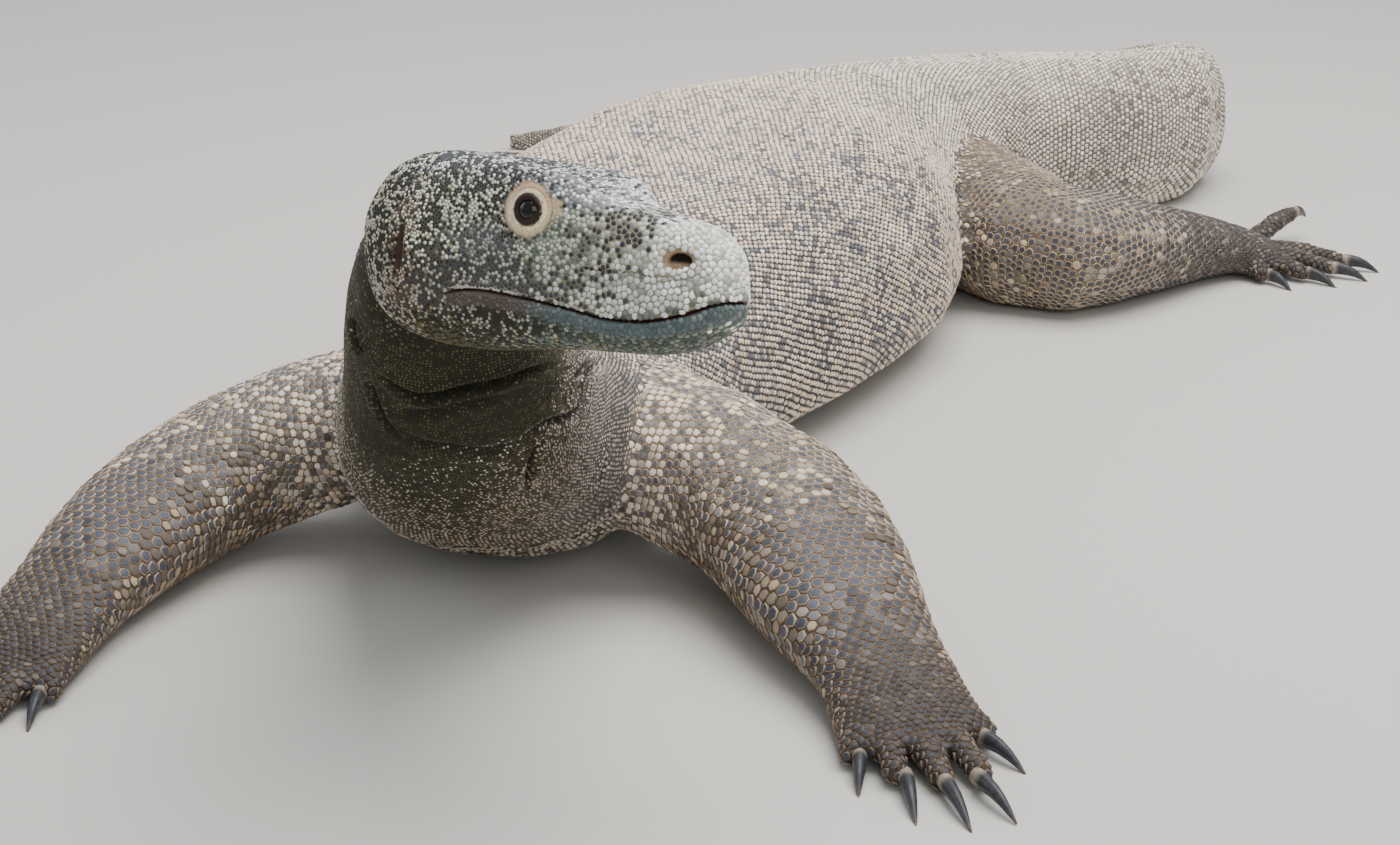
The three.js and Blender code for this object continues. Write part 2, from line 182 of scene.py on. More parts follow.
def mesh_of(name, points, faces):
    """A mesh from arrays: faces is (count, corners)."""
    mesh = bpy.data.meshes.new(name)
    mesh.vertices.add(len(points))
    mesh.vertices.foreach_set("co", np.asarray(points, np.float32).ravel())
    count, corners = faces.shape
    mesh.loops.add(count * corners)
    mesh.loops.foreach_set("vertex_index", faces.astype(np.int32).ravel())
    mesh.polygons.add(count)
    mesh.polygons.foreach_set("loop_start", np.arange(0, count * corners, corners))
    mesh.polygons.foreach_set("use_smooth", np.ones(count, bool))
    mesh.update(calc_edges=True)
    return mesh


def add_piece(name, mesh, material):
    mesh.materials.append(material)
    piece = bpy.data.objects.new(name, mesh)
    bpy.context.collection.objects.link(piece)
    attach(piece, "root")
    return piece


def tree_of(points):
    tree = KDTree(len(points))
    for index, point in enumerate(points):
        tree.insert(point, index)
    tree.balance()
    return tree


def set_tint(mesh, tints):
    """Colour and shine (in the alpha channel) of each point of a mesh."""
    layer = mesh.attributes.new("Tint", "FLOAT_COLOR", "POINT")
    layer.data.foreach_set("color", np.asarray(tints, np.float32).ravel())


# ---------------------------------------------------------------- the body's own directions

# The head's frame: x forward, y left, z up, from the point midway between the ears.
HEAD_AT = np.array([177, -656, 325]) * mm
HEAD_YAW, HEAD_PITCH, HEAD_ROLL = -14, 6, 15


def head_axes():
    yaw, pitch, roll = (math.radians(a) for a in (HEAD_YAW, -HEAD_PITCH, -HEAD_ROLL))
    cy, sy, cp, sp, cr, sr = (f(a) for a in (yaw, pitch, roll) for f in (math.cos, math.sin))
    turn_z = np.array([[cy, -sy, 0], [sy, cy, 0], [0, 0, 1]])
    turn_y = np.array([[cp, 0, sp], [0, 1, 0], [-sp, 0, cp]])
    turn_x = np.array([[1, 0, 0], [0, cr, -sr], [0, sr, cr]])
    return turn_z @ turn_y @ turn_x


HEAD = head_axes()


def to_head(points):
    return (points - HEAD_AT) @ HEAD


def from_head(points):
    return HEAD_AT + np.asarray(points) @ HEAD.T


# Middle lines, from the head to the tail's tip, and from each limb's root to its knuckles.
SPINE = [
    (145, -626, 288), (128, -595, 246), (105, -547, 194), (80, -484, 148), (54, -410, 112),
    (26, -300, 96), (6, -180, 88), (0, -50, 84), (0, 80, 84), (2, 190, 82), (12, 300, 80),
    (36, 400, 78), (84, 488, 78), (150, 552, 78), (208, 618, 74), (232, 706, 68),
    (190, 784, 58), (92, 806, 47), (-20, 776, 38), (-128, 728, 31), (-232, 672, 25),
    (-326, 616, 19), (-404, 566, 13), (-462, 540, 8),
]
ARM_LEFT = [
    (130, -384, 100), (218, -370, 76), (268, -396, 60), (308, -435, 46), (342, -472, 35),
    (374, -504, 26), (402, -536, 18), (424, -562, 12),
]
ARM_RIGHT = [
    (-40, -410, 100), (-120, -450, 76), (-146, -496, 60), (-152, -550, 46), (-150, -602, 35),
    (-146, -646, 26), (-141, -690, 18), (-138, -724, 12),
]
LEG_LEFT = [
    (100, 356, 76), (190, 294, 68), (234, 284, 62), (272, 320, 54), (304, 372, 42),
    (332, 420, 30), (356, 456, 22), (384, 478, 14),
]
LEG_RIGHT = [
    (-76, 356, 76), (-170, 290, 68), (-220, 270, 62), (-262, 298, 54), (-292, 342, 42),
    (-317, 388, 30), (-344, 420, 22), (-374, 438, 14),
]
PARTS = {
    "spine": ("neck", "chest", "belly", "hips", "tail_1", "tail_2", "tail_3", "tail_4"),
    "arm_left": ("upper_arm_left", "forearm_left", "hand_left"),
    "arm_right": ("upper_arm_right", "forearm_right", "hand_right"),
    "leg_left": ("thigh_left", "shin_left", "foot_left"),
    "leg_right": ("thigh_right", "shin_right", "foot_right"),
    "head": ("head", "jaw"),
}
EYES = ("eye_left", "eye_right")
CLAWS = sorted(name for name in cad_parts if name.startswith("claw_"))
FLESH = [name for names in PARTS.values() for name in names]

# ---------------------------------------------------------------- skin: remesh and smooth

SKIN_VOXEL = 5 * mm
COAT_DEPTH = 1.0 * mm            # the scales' height over the skin of the body
# Rounds of smoothing that take the solids' flat facets out, by node.
SMOOTHING = {
    "neck": 40, "chest": 70, "belly": 90, "hips": 70, "tail_1": 40, "tail_2": 30, "tail_3": 16,
    "tail_4": 8, "head": 8, "jaw": 8, "upper_arm": 28, "forearm": 24, "hand": 4, "thigh": 36,
    "shin": 24, "foot": 4,
}


def node_mesh(names):
    """Points, triangles and each triangle's node number, of several CAD nodes together."""
    points, faces, owners, start = [], [], [], 0
    for number, name in enumerate(names):
        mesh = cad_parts[name].data
        mesh.calc_loop_triangles()
        corners = np.empty(len(mesh.loop_triangles) * 3, int)
        mesh.loop_triangles.foreach_get("vertices", corners)
        points.append(mesh_points(mesh))
        faces.append(corners.reshape(-1, 3) + start)
        owners.append(np.full(len(faces[-1]), number))
        start += len(mesh.vertices)
    return np.vstack(points), np.vstack(faces), np.concatenate(owners)


def remeshed(points, faces, voxel):
    source = bpy.data.objects.new("source", mesh_of("source", points, faces))
    bpy.context.collection.objects.link(source)
    remesh = source.modifiers.new("remesh", "REMESH")
    remesh.mode = "VOXEL"
    remesh.voxel_size = voxel
    bpy.context.view_layer.update()
    graph = bpy.context.evaluated_depsgraph_get()
    mesh = bpy.data.meshes.new_from_object(source.evaluated_get(graph))
    bpy.data.objects.remove(source)
    return mesh


def edges_of(mesh):
    ends = np.empty(len(mesh.edges) * 2, int)
    mesh.edges.foreach_get("vertices", ends)
    return ends.reshape(-1, 2)


def neighbour_mean(values, edges):
    count = len(values)
    share = np.bincount(edges.ravel(), minlength=count)[:, None]
    columns = [
        np.bincount(edges[:, 0], values[edges[:, 1], k], count)
        + np.bincount(edges[:, 1], values[edges[:, 0], k], count)
        for k in range(values.shape[1])
    ]
    return np.stack(columns, 1) / np.maximum(share, 1)


def relax(points, edges, rounds, shrink=0.5, swell=-0.52):
    """Taubin smoothing: `rounds` is a number of rounds for each point."""
    points = points.copy()
    for turn in range(int(np.max(rounds))):
        active = np.clip(rounds - turn, 0, 1)[:, None]
        for share in (shrink, swell):
            points += (neighbour_mean(points, edges) - points) * share * active
    return points


def owners_of(points, names):
    """For each point, the number of the nearest CAD node."""
    node_points, faces, owners = node_mesh(names)
    tree = BVHTree.FromPolygons(node_points.tolist(), faces.tolist())
    return np.array([owners[tree.find_nearest(Vector(p))[2]] for p in points])


def rounds_for(names):
    """Rounds of smoothing for each of the named nodes, whatever side they are on."""
    return np.array([
        SMOOTHING.get(name, SMOOTHING.get(name.rsplit("_", 1)[0], 0)) for name in names])


def vertex_normals(mesh):
    values = np.empty(len(mesh.vertices) * 3)
    mesh.vertex_normals.foreach_get("vector", values)
    return values.reshape(-1, 3)


def base_skin():
    """The remeshed flesh, and the number of the node that each of its points belongs to."""
    names = FLESH + list(EYES)
    points, faces, _ = node_mesh(names)
    mesh = remeshed(points, faces, SKIN_VOXEL)
    points = mesh_points(mesh)
    owner = owners_of(points, FLESH)
    edges = edges_of(mesh)
    rounds = rounds_for(FLESH)[owner].astype(float)
    for _ in range(12):
        rounds = mixed(rounds, neighbour_mean(rounds[:, None], edges)[:, 0], 0.5)
    floor_part = points[:, 2] < 3 * mm
    points = relax(points, edges, rounds)
    points[floor_part, 2] = np.clip(points[floor_part, 2], 0.2 * mm, 3 * mm)
    mesh.vertices.foreach_set("co", points.astype(np.float32).ravel())
    mesh.update()
    return mesh, owner

# ---------------------------------------------------------------- skin: finer mesh where it is needed

# The head's features, in its own frame; the left side's are mirrored to the right.
EYE_AT = np.array([80, 34, 19]) * mm
EYE_RADIUS = 10 * mm
EYE_AXIS = unit(np.array([0.16, 1, 0.08]))
LID_REACH = 14.5                 # mm from the eye's axis to the edge of the bare lids
LID_RINGS = 0.34 * mm            # height of the lids' folds
LID_RING_GAP = 2.9
NOSTRIL_AT = np.array([171.5, 22, 1.5]) * mm
EAR_AT = np.array([3, 57, -8]) * mm
MOUTH_CORNER = 36 * mm
BROW_AT = np.array([98, 27, 34]) * mm
BROW_HALF = np.array([20, 9, 9]) * mm
BROW_RISE = 3.2 * mm
TOE_RISE = 1.8 * mm              # the smoothing makes the toes this much too thin
MOUTH_LINE = smooth_line([(x * mm, 0, z * mm) for x, z in (
    (20, -41), (34, -30), (52, -26), (78, -27), (106, -30), (132, -33), (156, -32), (176, -27),
    (190, -20), (202, -15), (214, -12))], 120)


def mirrored(h):
    """Head-frame points with both sides brought to the left one."""
    return h * (1, 0, 1) + np.abs(h) * (0, 1, 0)


def over_mouth(h):
    """Height over the line of the closed mouth, square to it."""
    height = h[:, 2] - np.interp(h[:, 0], MOUTH_LINE[:, 0], MOUTH_LINE[:, 2])
    slope = np.interp(h[:, 0], MOUTH_LINE[:, 0], np.gradient(MOUTH_LINE[:, 2], MOUTH_LINE[:, 0]))
    return height / np.sqrt(1 + slope ** 2)


# Creases of the skin: (points in the picture, width mm, depth mm, rise of the banks mm).
CREASES = {
    "throat_main": ([(376, 376), (387, 383), (409, 395), (433, 397), (468, 389), (498, 383),
                     (528, 373), (557, 363), (587, 355), (607, 349)], 3.0, 7.0, 2.2),
    "throat_left": ([(369, 383), (375, 401), (385, 423), (401, 441)], 2.8, 4.0, 1.4),
    "throat_low": ([(403, 437), (448, 449), (484, 453), (516, 446)], 5.0, 3.4, 1.6),
    "throat_mid": ([(392, 412), (430, 414), (470, 404), (510, 396)], 4.0, 2.6, 1.2),
    "pleat_1": ([(597, 357), (585, 375), (581, 393), (576, 409)], 2.0, 4.2, 2.0),
    "pleat_2": ([(588, 362), (573, 381), (565, 405), (560, 418)], 2.0, 3.8, 2.0),
    "pleat_3": ([(570, 366), (554, 388), (546, 408)], 2.2, 2.6, 1.4),
    "dewlap": ([(603, 356), (590, 374), (587, 395), (576, 414), (561, 420), (543, 426),
                (520, 441)], 3.0, 6.0, 1.6),
    "shoulder": ([(548, 440), (536, 451), (531, 468), (529, 490)], 2.8, 6.0, 2.2),
    "arm_root": ([(614, 436), (609, 452), (604, 470), (599, 490)], 2.8, 3.4, 1.6),
    "neck_back": ([(352, 318), (354, 338), (361, 356)], 4.2, 9.0, 2.0),
    "lore": ([(563, 266), (585, 268), (606, 271), (643, 275), (668, 279), (692, 279),
              (702, 272)], 0.9, 1.1, 0.5),
}


TOE_LENGTH = 60 * mm             # and this near to the middle of a claw
LINE_DEPTH = 90 * mm             # a line's points lie this near to its middle in depth
CREASE_REACH = 11 * mm           # the mesh is finer this near to a crease


def skin_tree(mesh):
    return BVHTree.FromPolygons(mesh_points(mesh).tolist(), [p.vertices[:] for p in mesh.polygons])


def on_skin(tree, pixels):
    """The smooth line on the skin that these points of the picture look at."""
    casts = [tree.ray_cast(CAMERA_AT, sight(pixel)) for pixel in pixels]
    casts = [(hit, away) for hit, _, _, away in casts if hit is not None]
    middle = np.median([away for _, away in casts])
    return smooth_line([hit for hit, away in casts if abs(away - middle) < LINE_DEPTH], 240)


def wanted_level(points, crease_tree, claw_roots):
    """How many times the base mesh is halved at each point: 3 at the eyes, nostrils and lips."""
    h = mirrored(to_head(points))
    reach = np.linalg.norm(h * (1, 1.1, 1.1), axis=1)
    level = (reach < 200 * mm) & (points[:, 2] > 40 * mm) & (points[:, 0] > 0)
    level = level.astype(int)
    on_head = (h[:, 0] > -45 * mm) & (h[:, 0] < 210 * mm) & (np.abs(h[:, 2]) < 70 * mm)
    level[on_head & (h[:, 1] < 75 * mm)] = 2
    near_lips = (np.abs(over_mouth(h)) < 5 * mm) & (h[:, 0] > MOUTH_CORNER - 6 * mm)
    near_eye = np.linalg.norm(h - EYE_AT, axis=1) < 21 * mm
    near_nostril = np.linalg.norm(h - NOSTRIL_AT, axis=1) < 15 * mm
    near_ear = np.linalg.norm((h - EAR_AT) / (1, 1, 2), axis=1) < 13 * mm
    level[on_head & (near_lips | near_eye | near_nostril | near_ear)] = 3
    for root in claw_roots:
        level[np.linalg.norm((points - root)[:, :2], axis=1) < TOE_LENGTH] = 1
    front = (points[:, 1] < -0.36) & (points[:, 0] > 0.02) & (points[:, 2] > 0.04)
    for index in np.flatnonzero(front & (level < 2)):
        away = crease_tree.find(points[index])[2]
        level[index] = max(level[index], (away < 2 * CREASE_REACH) + (away < CREASE_REACH))
    return level


def refine(mesh):
    tree = skin_tree(mesh)
    creases = tree_of(np.vstack([on_skin(tree, pixels) for pixels, *_ in CREASES.values()]))
    claw_roots = [mesh_points(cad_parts[claw].data).mean(0) for claw in CLAWS]
    for level in (1, 2, 3):
        marked = wanted_level(mesh_points(mesh), creases, claw_roots) >= level
        grid = bmesh.new()
        grid.from_mesh(mesh)
        grid.verts.ensure_lookup_table()
        edges = [edge for edge in grid.edges if all(marked[v.index] for v in edge.verts)]
        bmesh.ops.subdivide_edges(grid, edges=edges, cuts=1, use_grid_fill=True)
        grid.to_mesh(mesh)
        grid.free()
        points = mesh_points(mesh)
        rounds = np.where(wanted_level(points, creases, claw_roots) >= level, 5, 0).astype(float)
        points = relax(points, edges_of(mesh), rounds)
        mesh.vertices.foreach_set("co", points.astype(np.float32).ravel())
        mesh.update()


# ---------------------------------------------------------------- skin: folds, lids, lips and pits

def crease(points, line, width, depth, rise):
    """Movement along the normal that presses a furrow with raised banks along a line."""
    reach = 5 * width
    near = np.all((points > line.min(0) - reach) & (points < line.max(0) + reach), axis=1)
    index = np.flatnonzero(near)
    gaps = np.linalg.norm(points[index, None] - line[None], axis=2)
    place = gaps.argmin(1) / (len(line) - 1)
    distance = gaps.min(1)
    taper = 1 - np.abs(2 * place - 1) ** 4
    move = np.zeros(len(points))
    move[index] = taper * (
        rise * np.exp(-((distance - 2.2 * width) / (1.1 * width)) ** 2)
        - depth * np.exp(-(distance / width) ** 2))
    return move


def eye_shape(points):
    """New places round the eyes, and each point's distance from the eye's axis and its bearing."""
    h = to_head(points)
    side = np.where(h[:, 1] < 0, -1, 1)
    out = mirrored(h) - EYE_AT
    radius = np.linalg.norm(out, axis=1)
    ray = unit(out)
    turn = np.degrees(np.arccos(np.clip(ray @ EYE_AXIS, -1, 1)))
    across = out - (out @ EYE_AXIS)[:, None] * EYE_AXIS
    around = np.arctan2(across[:, 2], across[:, 0])
    front = np.exp(-(around / 0.5) ** 2)
    back = np.exp(-((np.abs(around) - math.pi) / 0.4) ** 2)
    upper = step(-0.2, 0.9, np.sin(around))
    opening = 38 + 4 * front + 2 * back - 1.5 * np.abs(np.sin(around))
    lid = EYE_RADIUS + (0.9 + 0.5 * upper) * mm
    blend = step(opening + 12, opening + 34 + 6 * upper, turn)
    shaped = mixed(lid, radius, blend)
    hidden = step(opening + 1.5, opening - 3.5, turn)
    shaped = mixed(shaped, EYE_RADIUS - 1.6 * mm, hidden)
    use = (radius < 34 * mm) & (turn < 88)
    fade = step(34 * mm, 26 * mm, radius)
    moved = EYE_AT + ray * np.where(use, mixed(radius, shaped, fade), radius)[:, None]
    out = moved - EYE_AT
    away = np.linalg.norm(out - (out @ EYE_AXIS)[:, None] * EYE_AXIS, axis=1) / mm
    away = np.where(use, away, 99)
    rings = LID_RINGS * np.cos(2 * math.pi * (away - 7) / LID_RING_GAP)
    rings *= step(7.2, 8.4, away) * step(LID_REACH + 3, LID_REACH, away)
    moved += rings[:, None] * EYE_AXIS
    moved[:, 1] *= side
    return from_head(moved), away, around


def pit(h, middle, half, rim):
    """1 inside an oval pit of the head's side, and the ring round it."""
    flat = (h - middle)[:, [0, 2]] / half
    away = np.hypot(*flat.T)
    near = np.abs(h[:, 1] - middle[1]) < 16 * mm
    return near * step(1.05, 0.55, away), near * np.exp(-((away - 1.2) / rim) ** 2)


def sculpt(mesh):
    """Shapes the skin and returns the masks that the scales and colours use."""
    points, from_eye, round_eye = eye_shape(mesh_points(mesh))
    mesh.vertices.foreach_set("co", points.astype(np.float32).ravel())
    mesh.update()
    normals = vertex_normals(mesh)
    tree = skin_tree(mesh)
    h = mirrored(to_head(points))
    on_head = step(-45 * mm, -30 * mm, h[:, 0]) * (np.abs(h[:, 2]) < 80 * mm) * (h[:, 1] < 80 * mm)

    height = over_mouth(h) / mm
    lips = on_head * step(MOUTH_CORNER - 5 * mm, MOUTH_CORNER + 6 * mm, h[:, 0])
    move = lips * (-2.6 * np.exp(-(height / 0.85) ** 2)
                   + 0.5 * np.exp(-((height - 3) / 2.2) ** 2)
                   + 1.5 * np.exp(-((height + 5) / 3.4) ** 2)
                   - 1.0 * np.exp(-((height + 12) / 2.6) ** 2))
    hole, rim = pit(h, NOSTRIL_AT, np.array([8.6, 5.8]) * mm, 0.32)
    move += on_head * (-6.5 * hole + 0.9 * rim)
    slit, bank = pit(h, EAR_AT, np.array([4.2, 17]) * mm, 0.5)
    move += on_head * (-5.0 * slit + 0.8 * bank)
    move *= mm
    brow = np.exp(-np.sum(((h - BROW_AT) / BROW_HALF) ** 2, 1))
    move += on_head * BROW_RISE * brow
    toes = (tubes_of(points, owners_of(points, FLESH)) >= TOES[0]).astype(float)
    edges = edges_of(mesh)
    for _ in range(6):
        toes = mixed(toes, neighbour_mean(toes[:, None], edges)[:, 0], 0.6)
    move += TOE_RISE * toes * step(2 * mm, 5 * mm, points[:, 2])
    folds = np.zeros(len(points))
    for pixels, width, depth, rise in CREASES.values():
        line = on_skin(tree, pixels)
        move += crease(points, line, width * mm, depth * mm, rise * mm)
        folds = np.maximum(folds, -crease(points, line, 0.9 * width * mm, min(depth / 4, 1), 0))
    points = points + normals * (move - COAT_DEPTH)[:, None]
    points[:, 2] = np.maximum(points[:, 2], 0.1 * mm)
    mesh.vertices.foreach_set("co", points.astype(np.float32).ravel())
    mesh.update()
    return {
        "from_eye": from_eye, "round_eye": round_eye, "folds": folds,
        "nostril": on_head * hole, "nostril_rim": on_head * rim,
        "ear": on_head * slit, "ear_bank": on_head * bank,
        "lips": lips, "mouth_height": np.where(lips > 0, height, 99),
    }

# ---------------------------------------------------------------- lines that the rows go round

# Size of the scales in mm, at shares of the way along each middle line.
ROW_SIZES = {
    "spine": ([0, 0.06, 0.09, 0.13, 0.19, 0.45, 0.62, 0.85, 1],
              [2.3, 2.4, 3.0, 4.3, 5.2, 5.5, 5.0, 4.6, 3.4]),
    "arm": ([0, 0.2, 0.45, 0.62, 0.8, 0.9, 1], [5.2, 6.4, 7.4, 9.0, 8.4, 6.2, 4.8]),
    "leg": ([0, 0.25, 0.5, 0.7, 0.86, 1], [5.2, 5.8, 6.4, 5.8, 5.0, 4.4]),
    "toe": ([0, 1], [5.6, 5.0]),
}
BELLY_SIZE = 1.6                 # the belly's scales against the back's
ROW_SPACING = {"spine": 0.866, "arm": 0.82, "leg": 0.866, "toe": 0.6}  # against that in a row
WRIST_SPACING = 0.62             # the rows are close together from the wrist on
WIDENED = {"toe": 1.5}           # the toes' scales are this much wider than long
ROW_JITTER = 0.06                # of a scale's size, to each side
OUTLINE_TURNS = np.linspace(0, math.pi, 25)
TOE_REACH = 12.5 * mm


class Tube:
    """A stretch of the body with a middle line, which rows of scales go round."""

    def __init__(self, name, number, points):
        self.name = name
        self.number = number
        self.kind = name.split("_")[0]
        self.line = smooth_line(points, 160)
        steps = np.linalg.norm(np.diff(self.line, axis=0), axis=1)
        self.along = np.append(0, np.cumsum(steps))
        self.length = self.along[-1]
        self.way = unit(np.gradient(self.line, axis=0))
        self.tree = tree_of(self.line)

    def at(self, distance):
        """Middle, direction towards the tip, side and upper direction."""
        middle, way = (
            np.array([np.interp(distance, self.along, rows[:, k]) for k in range(3)])
            for rows in (self.line, self.way))
        way = unit(way)
        side = unit(np.cross(way, (0, 0, 1)))
        return middle, way, side, np.cross(side, way)

    def size(self, distance, turns):
        shares, sizes = ROW_SIZES[self.kind]
        share = distance / self.length
        size = np.interp(share, shares, sizes) * mm * np.ones(len(turns))
        if self.kind == "spine":
            below = step(0, -0.8, np.cos(turns)) * step(0.1, 0.2, share)
            size *= mixed(1, BELLY_SIZE, below)
        return size

    def place_of(self, points):
        """Share of the way along, and angle round from the upper side."""
        near = np.array([self.tree.find(point)[1] for point in points], int)
        way = self.way[near]
        out = points - self.line[near]
        share = (self.along[near] + np.sum(out * way, 1)) / self.length
        side = unit(np.cross(way, (0, 0, 1)))
        up = np.cross(side, way)
        return share, np.arctan2(np.sum(out * side, 1), np.sum(out * up, 1))


def claw_ends(claw, knuckles):
    """The middle of a claw's root and its tip."""
    points = mesh_points(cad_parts[claw].data)
    away = np.linalg.norm((points - knuckles)[:, :2], axis=1)
    return points[away < away.min() + 3 * mm].mean(0), points[away.argmax()]


def toe_line(claw, knuckles):
    root, tip = claw_ends(claw, knuckles)
    way = unit((tip - root) * (1, 1, 0))
    start = root - way * (np.linalg.norm((root - knuckles)[:2]) - 8 * mm)
    start[2] = 13 * mm
    return [start, mixed(start, root, 0.5), root]


LIMB_LINES = {"arm_left": ARM_LEFT, "arm_right": ARM_RIGHT, "leg_left": LEG_LEFT,
              "leg_right": LEG_RIGHT}
KNUCKLES = {"hand_left": ARM_LEFT[-1], "hand_right": ARM_RIGHT[-1], "foot_left": LEG_LEFT[-1],
            "foot_right": LEG_RIGHT[-1]}


def make_tubes():
    lines = {"spine": np.array(SPINE) * mm}
    lines.update({name: np.array(line) * mm for name, line in LIMB_LINES.items()})
    for claw in CLAWS:
        foot = claw[len("claw_"):-len("_1")]
        lines["toe" + claw[len("claw"):]] = toe_line(claw, np.array(KNUCKLES[foot]) * mm)
    return [Tube(name, number, line) for number, (name, line) in enumerate(lines.items())]


TUBES = make_tubes()
LIMBS = range(1, 5)
TOES = range(5, len(TUBES))
HEAD_TUBE = len(TUBES)


def tubes_of(points, owner):
    """Which line each point of the skin belongs to."""
    numbers = np.full(len(points), HEAD_TUBE)
    for tube in TUBES[:5]:
        numbers[np.isin(owner, [FLESH.index(name) for name in PARTS[tube.name]])] = tube.number
    for number in TOES:
        tube = TUBES[number]
        foot = FLESH.index(tube.name[len("toe_"):-len("_1")])
        index = np.flatnonzero(owner == foot)
        line = tube.line[12::4]
        away = np.linalg.norm(points[index, None] - line[None], axis=2).min(1)
        numbers[index[away < TOE_REACH]] = number
    return numbers


# ---------------------------------------------------------------- roots of the scales

class Skin:
    """The sculpted skin, with the fields that the scales are grown and coloured by."""

    def __init__(self, mesh, masks):
        self.mesh = mesh
        self.points = mesh_points(mesh)
        self.normals = vertex_normals(mesh)
        self.tube = tubes_of(self.points, owners_of(self.points, FLESH))
        self.masks = masks
        mesh.calc_loop_triangles()
        corners = np.empty(len(mesh.loop_triangles) * 3, int)
        mesh.loop_triangles.foreach_get("vertices", corners)
        self.triangles = corners.reshape(-1, 3)
        self.tree = BVHTree.FromPolygons(self.points.tolist(), self.triangles.tolist())

    def nearest(self, points):
        """Nearest places on the skin, and their triangles."""
        found = [self.tree.find_nearest(Vector(point)) for point in points]
        return np.array([hit[0] for hit in found]), np.array([hit[2] for hit in found])

    def sprinkled(self, chosen, count, dice):
        """Random places on the chosen triangles, as many to each square metre."""
        a, b, c = (self.points[self.triangles[chosen, k]] for k in range(3))
        areas = np.linalg.norm(np.cross(b - a, c - a), axis=1)
        pick = dice.choice(len(chosen), count, p=areas / areas.sum())
        u, v = dice.random((2, count, 1))
        u, v = np.where(u + v > 1, 1 - u, u), np.where(u + v > 1, 1 - v, v)
        return a[pick] + (b - a)[pick] * u + (c - a)[pick] * v, chosen[pick]


def rows_round(tube, skin):
    """Roots in staggered rows, evenly spaced from the upper middle line down both sides."""
    places, faces, sizes = [], [], []
    distance, row = 0.0, 0
    widened = WIDENED.get(tube.kind, 1)
    while distance < tube.length:
        middle, way, side, up = tube.at(distance)
        local = tube.size(distance, OUTLINE_TURNS)
        for hand in (1, -1):
            rays = (np.cos(OUTLINE_TURNS)[:, None] * up
                    + hand * np.sin(OUTLINE_TURNS)[:, None] * side)
            hits = [skin.tree.ray_cast(middle, ray, 0.4)[0] for ray in rays]
            outline = np.array([hit if hit is not None else middle for hit in hits])
            gaps = np.linalg.norm(np.diff(outline, axis=0), axis=1)
            count = np.append(0, np.cumsum(gaps * 2 / (local[1:] + local[:-1]) / widened))
            first = 0.5 if row % 2 else (0 if hand == 1 else 1)
            for turn in np.interp(np.arange(first, count[-1] - 0.3), count, OUTLINE_TURNS):
                ray = math.cos(turn) * up + hand * math.sin(turn) * side
                hit, _, face, _ = skin.tree.ray_cast(middle, ray, 0.4)
                if hit is None or skin.tube[skin.triangles[face, 0]] != tube.number:
                    continue
                places.append(hit)
                faces.append(face)
                sizes.append(np.interp(turn, OUTLINE_TURNS, local))
        spacing = ROW_SPACING[tube.kind]
        if tube.kind == "arm":
            wrist = step(0.68, 0.76, distance / tube.length) * step(1, 0.9, distance / tube.length)
            spacing = mixed(spacing, WRIST_SPACING, wrist)
        distance += local[0] * spacing
        row += 1
    return np.array(places).reshape(-1, 3), np.array(faces, int), np.array(sizes)


# Sizes of the head's scales in mm round some places of its own frame:
# (x, y, z of the place, reach, size).
HEAD_SIZES = [
    ((40, 20, 45), 60, 2.2),     # crown
    ((30, 45, 15), 36, 1.9),     # temple
    ((40, 45, -12), 22, 2.5),    # behind the eye
    ((20, 45, -35), 26, 2.2),    # jaw's corner
    ((80, 34, 19), 17, 1.9),     # round the eye
    ((110, 25, 12), 24, 3.0),    # between the eye and the nostril
    ((110, 25, -22), 22, 3.3),   # upper lip
    ((176, 12, 0), 40, 3.7),     # snout
    ((120, 10, -50), 34, 3.2),   # under the lower lip
    ((40, 20, -70), 40, 2.2),    # throat's start
    ((-20, 30, 10), 30, 2.2),    # nape
]


def head_size(h):
    total, weight = np.zeros(len(h)), np.full(len(h), 1e-6)
    for place, reach, size in HEAD_SIZES:
        share = np.exp(-np.sum((mirrored(h) / mm - place) ** 2, 1) / reach ** 2) + 1e-9
        total += share * size
        weight += share
    return (total + 2.8e-6) / weight * mm


def settled(places, faces, sizes, fixed, skin, rounds):
    """Roots pushed apart along the skin until they are evenly spread."""
    everything, spans = np.vstack([places, fixed[0]]), np.append(sizes, fixed[1])
    count = len(places)
    for _ in range(rounds):
        tree = tree_of(everything)
        found = [tree.find_n(point, 8) for point in everything[:count]]
        near = np.array([[hit[1] for hit in hits] for hits in found])[:, 1:]
        out = everything[:count, None] - everything[near]
        gap = np.linalg.norm(out, axis=2, keepdims=True)
        span = ((spans[:count, None] + spans[near]) / 2)[:, :, None]
        push = np.clip(1.08 - gap / span, 0, 1) * span * 0.45
        moved = everything[:count] + (out / np.maximum(gap, 1e-6) * push).sum(1)
        everything[:count], faces = skin.nearest(moved)
    return everything[:count], faces


def head_roots(skin, dice):
    on_head = np.flatnonzero(skin.tube[skin.triangles[:, 0]] == HEAD_TUBE)
    places, faces = skin.sprinkled(on_head, 60000, dice)
    sizes = head_size(to_head(places))
    a, b, c = (skin.points[skin.triangles[on_head, k]] for k in range(3))
    area = np.linalg.norm(np.cross(b - a, c - a), axis=1).sum() / 2
    kept = dice.random(len(places)) < area / len(places) / (0.866 * sizes ** 2)
    places, faces, sizes = places[kept], faces[kept], sizes[kept]
    none = np.zeros((0, 3)), np.zeros(0)
    places, faces = settled(places, faces, sizes, none, skin, 14)
    return places, faces, head_size(to_head(places))


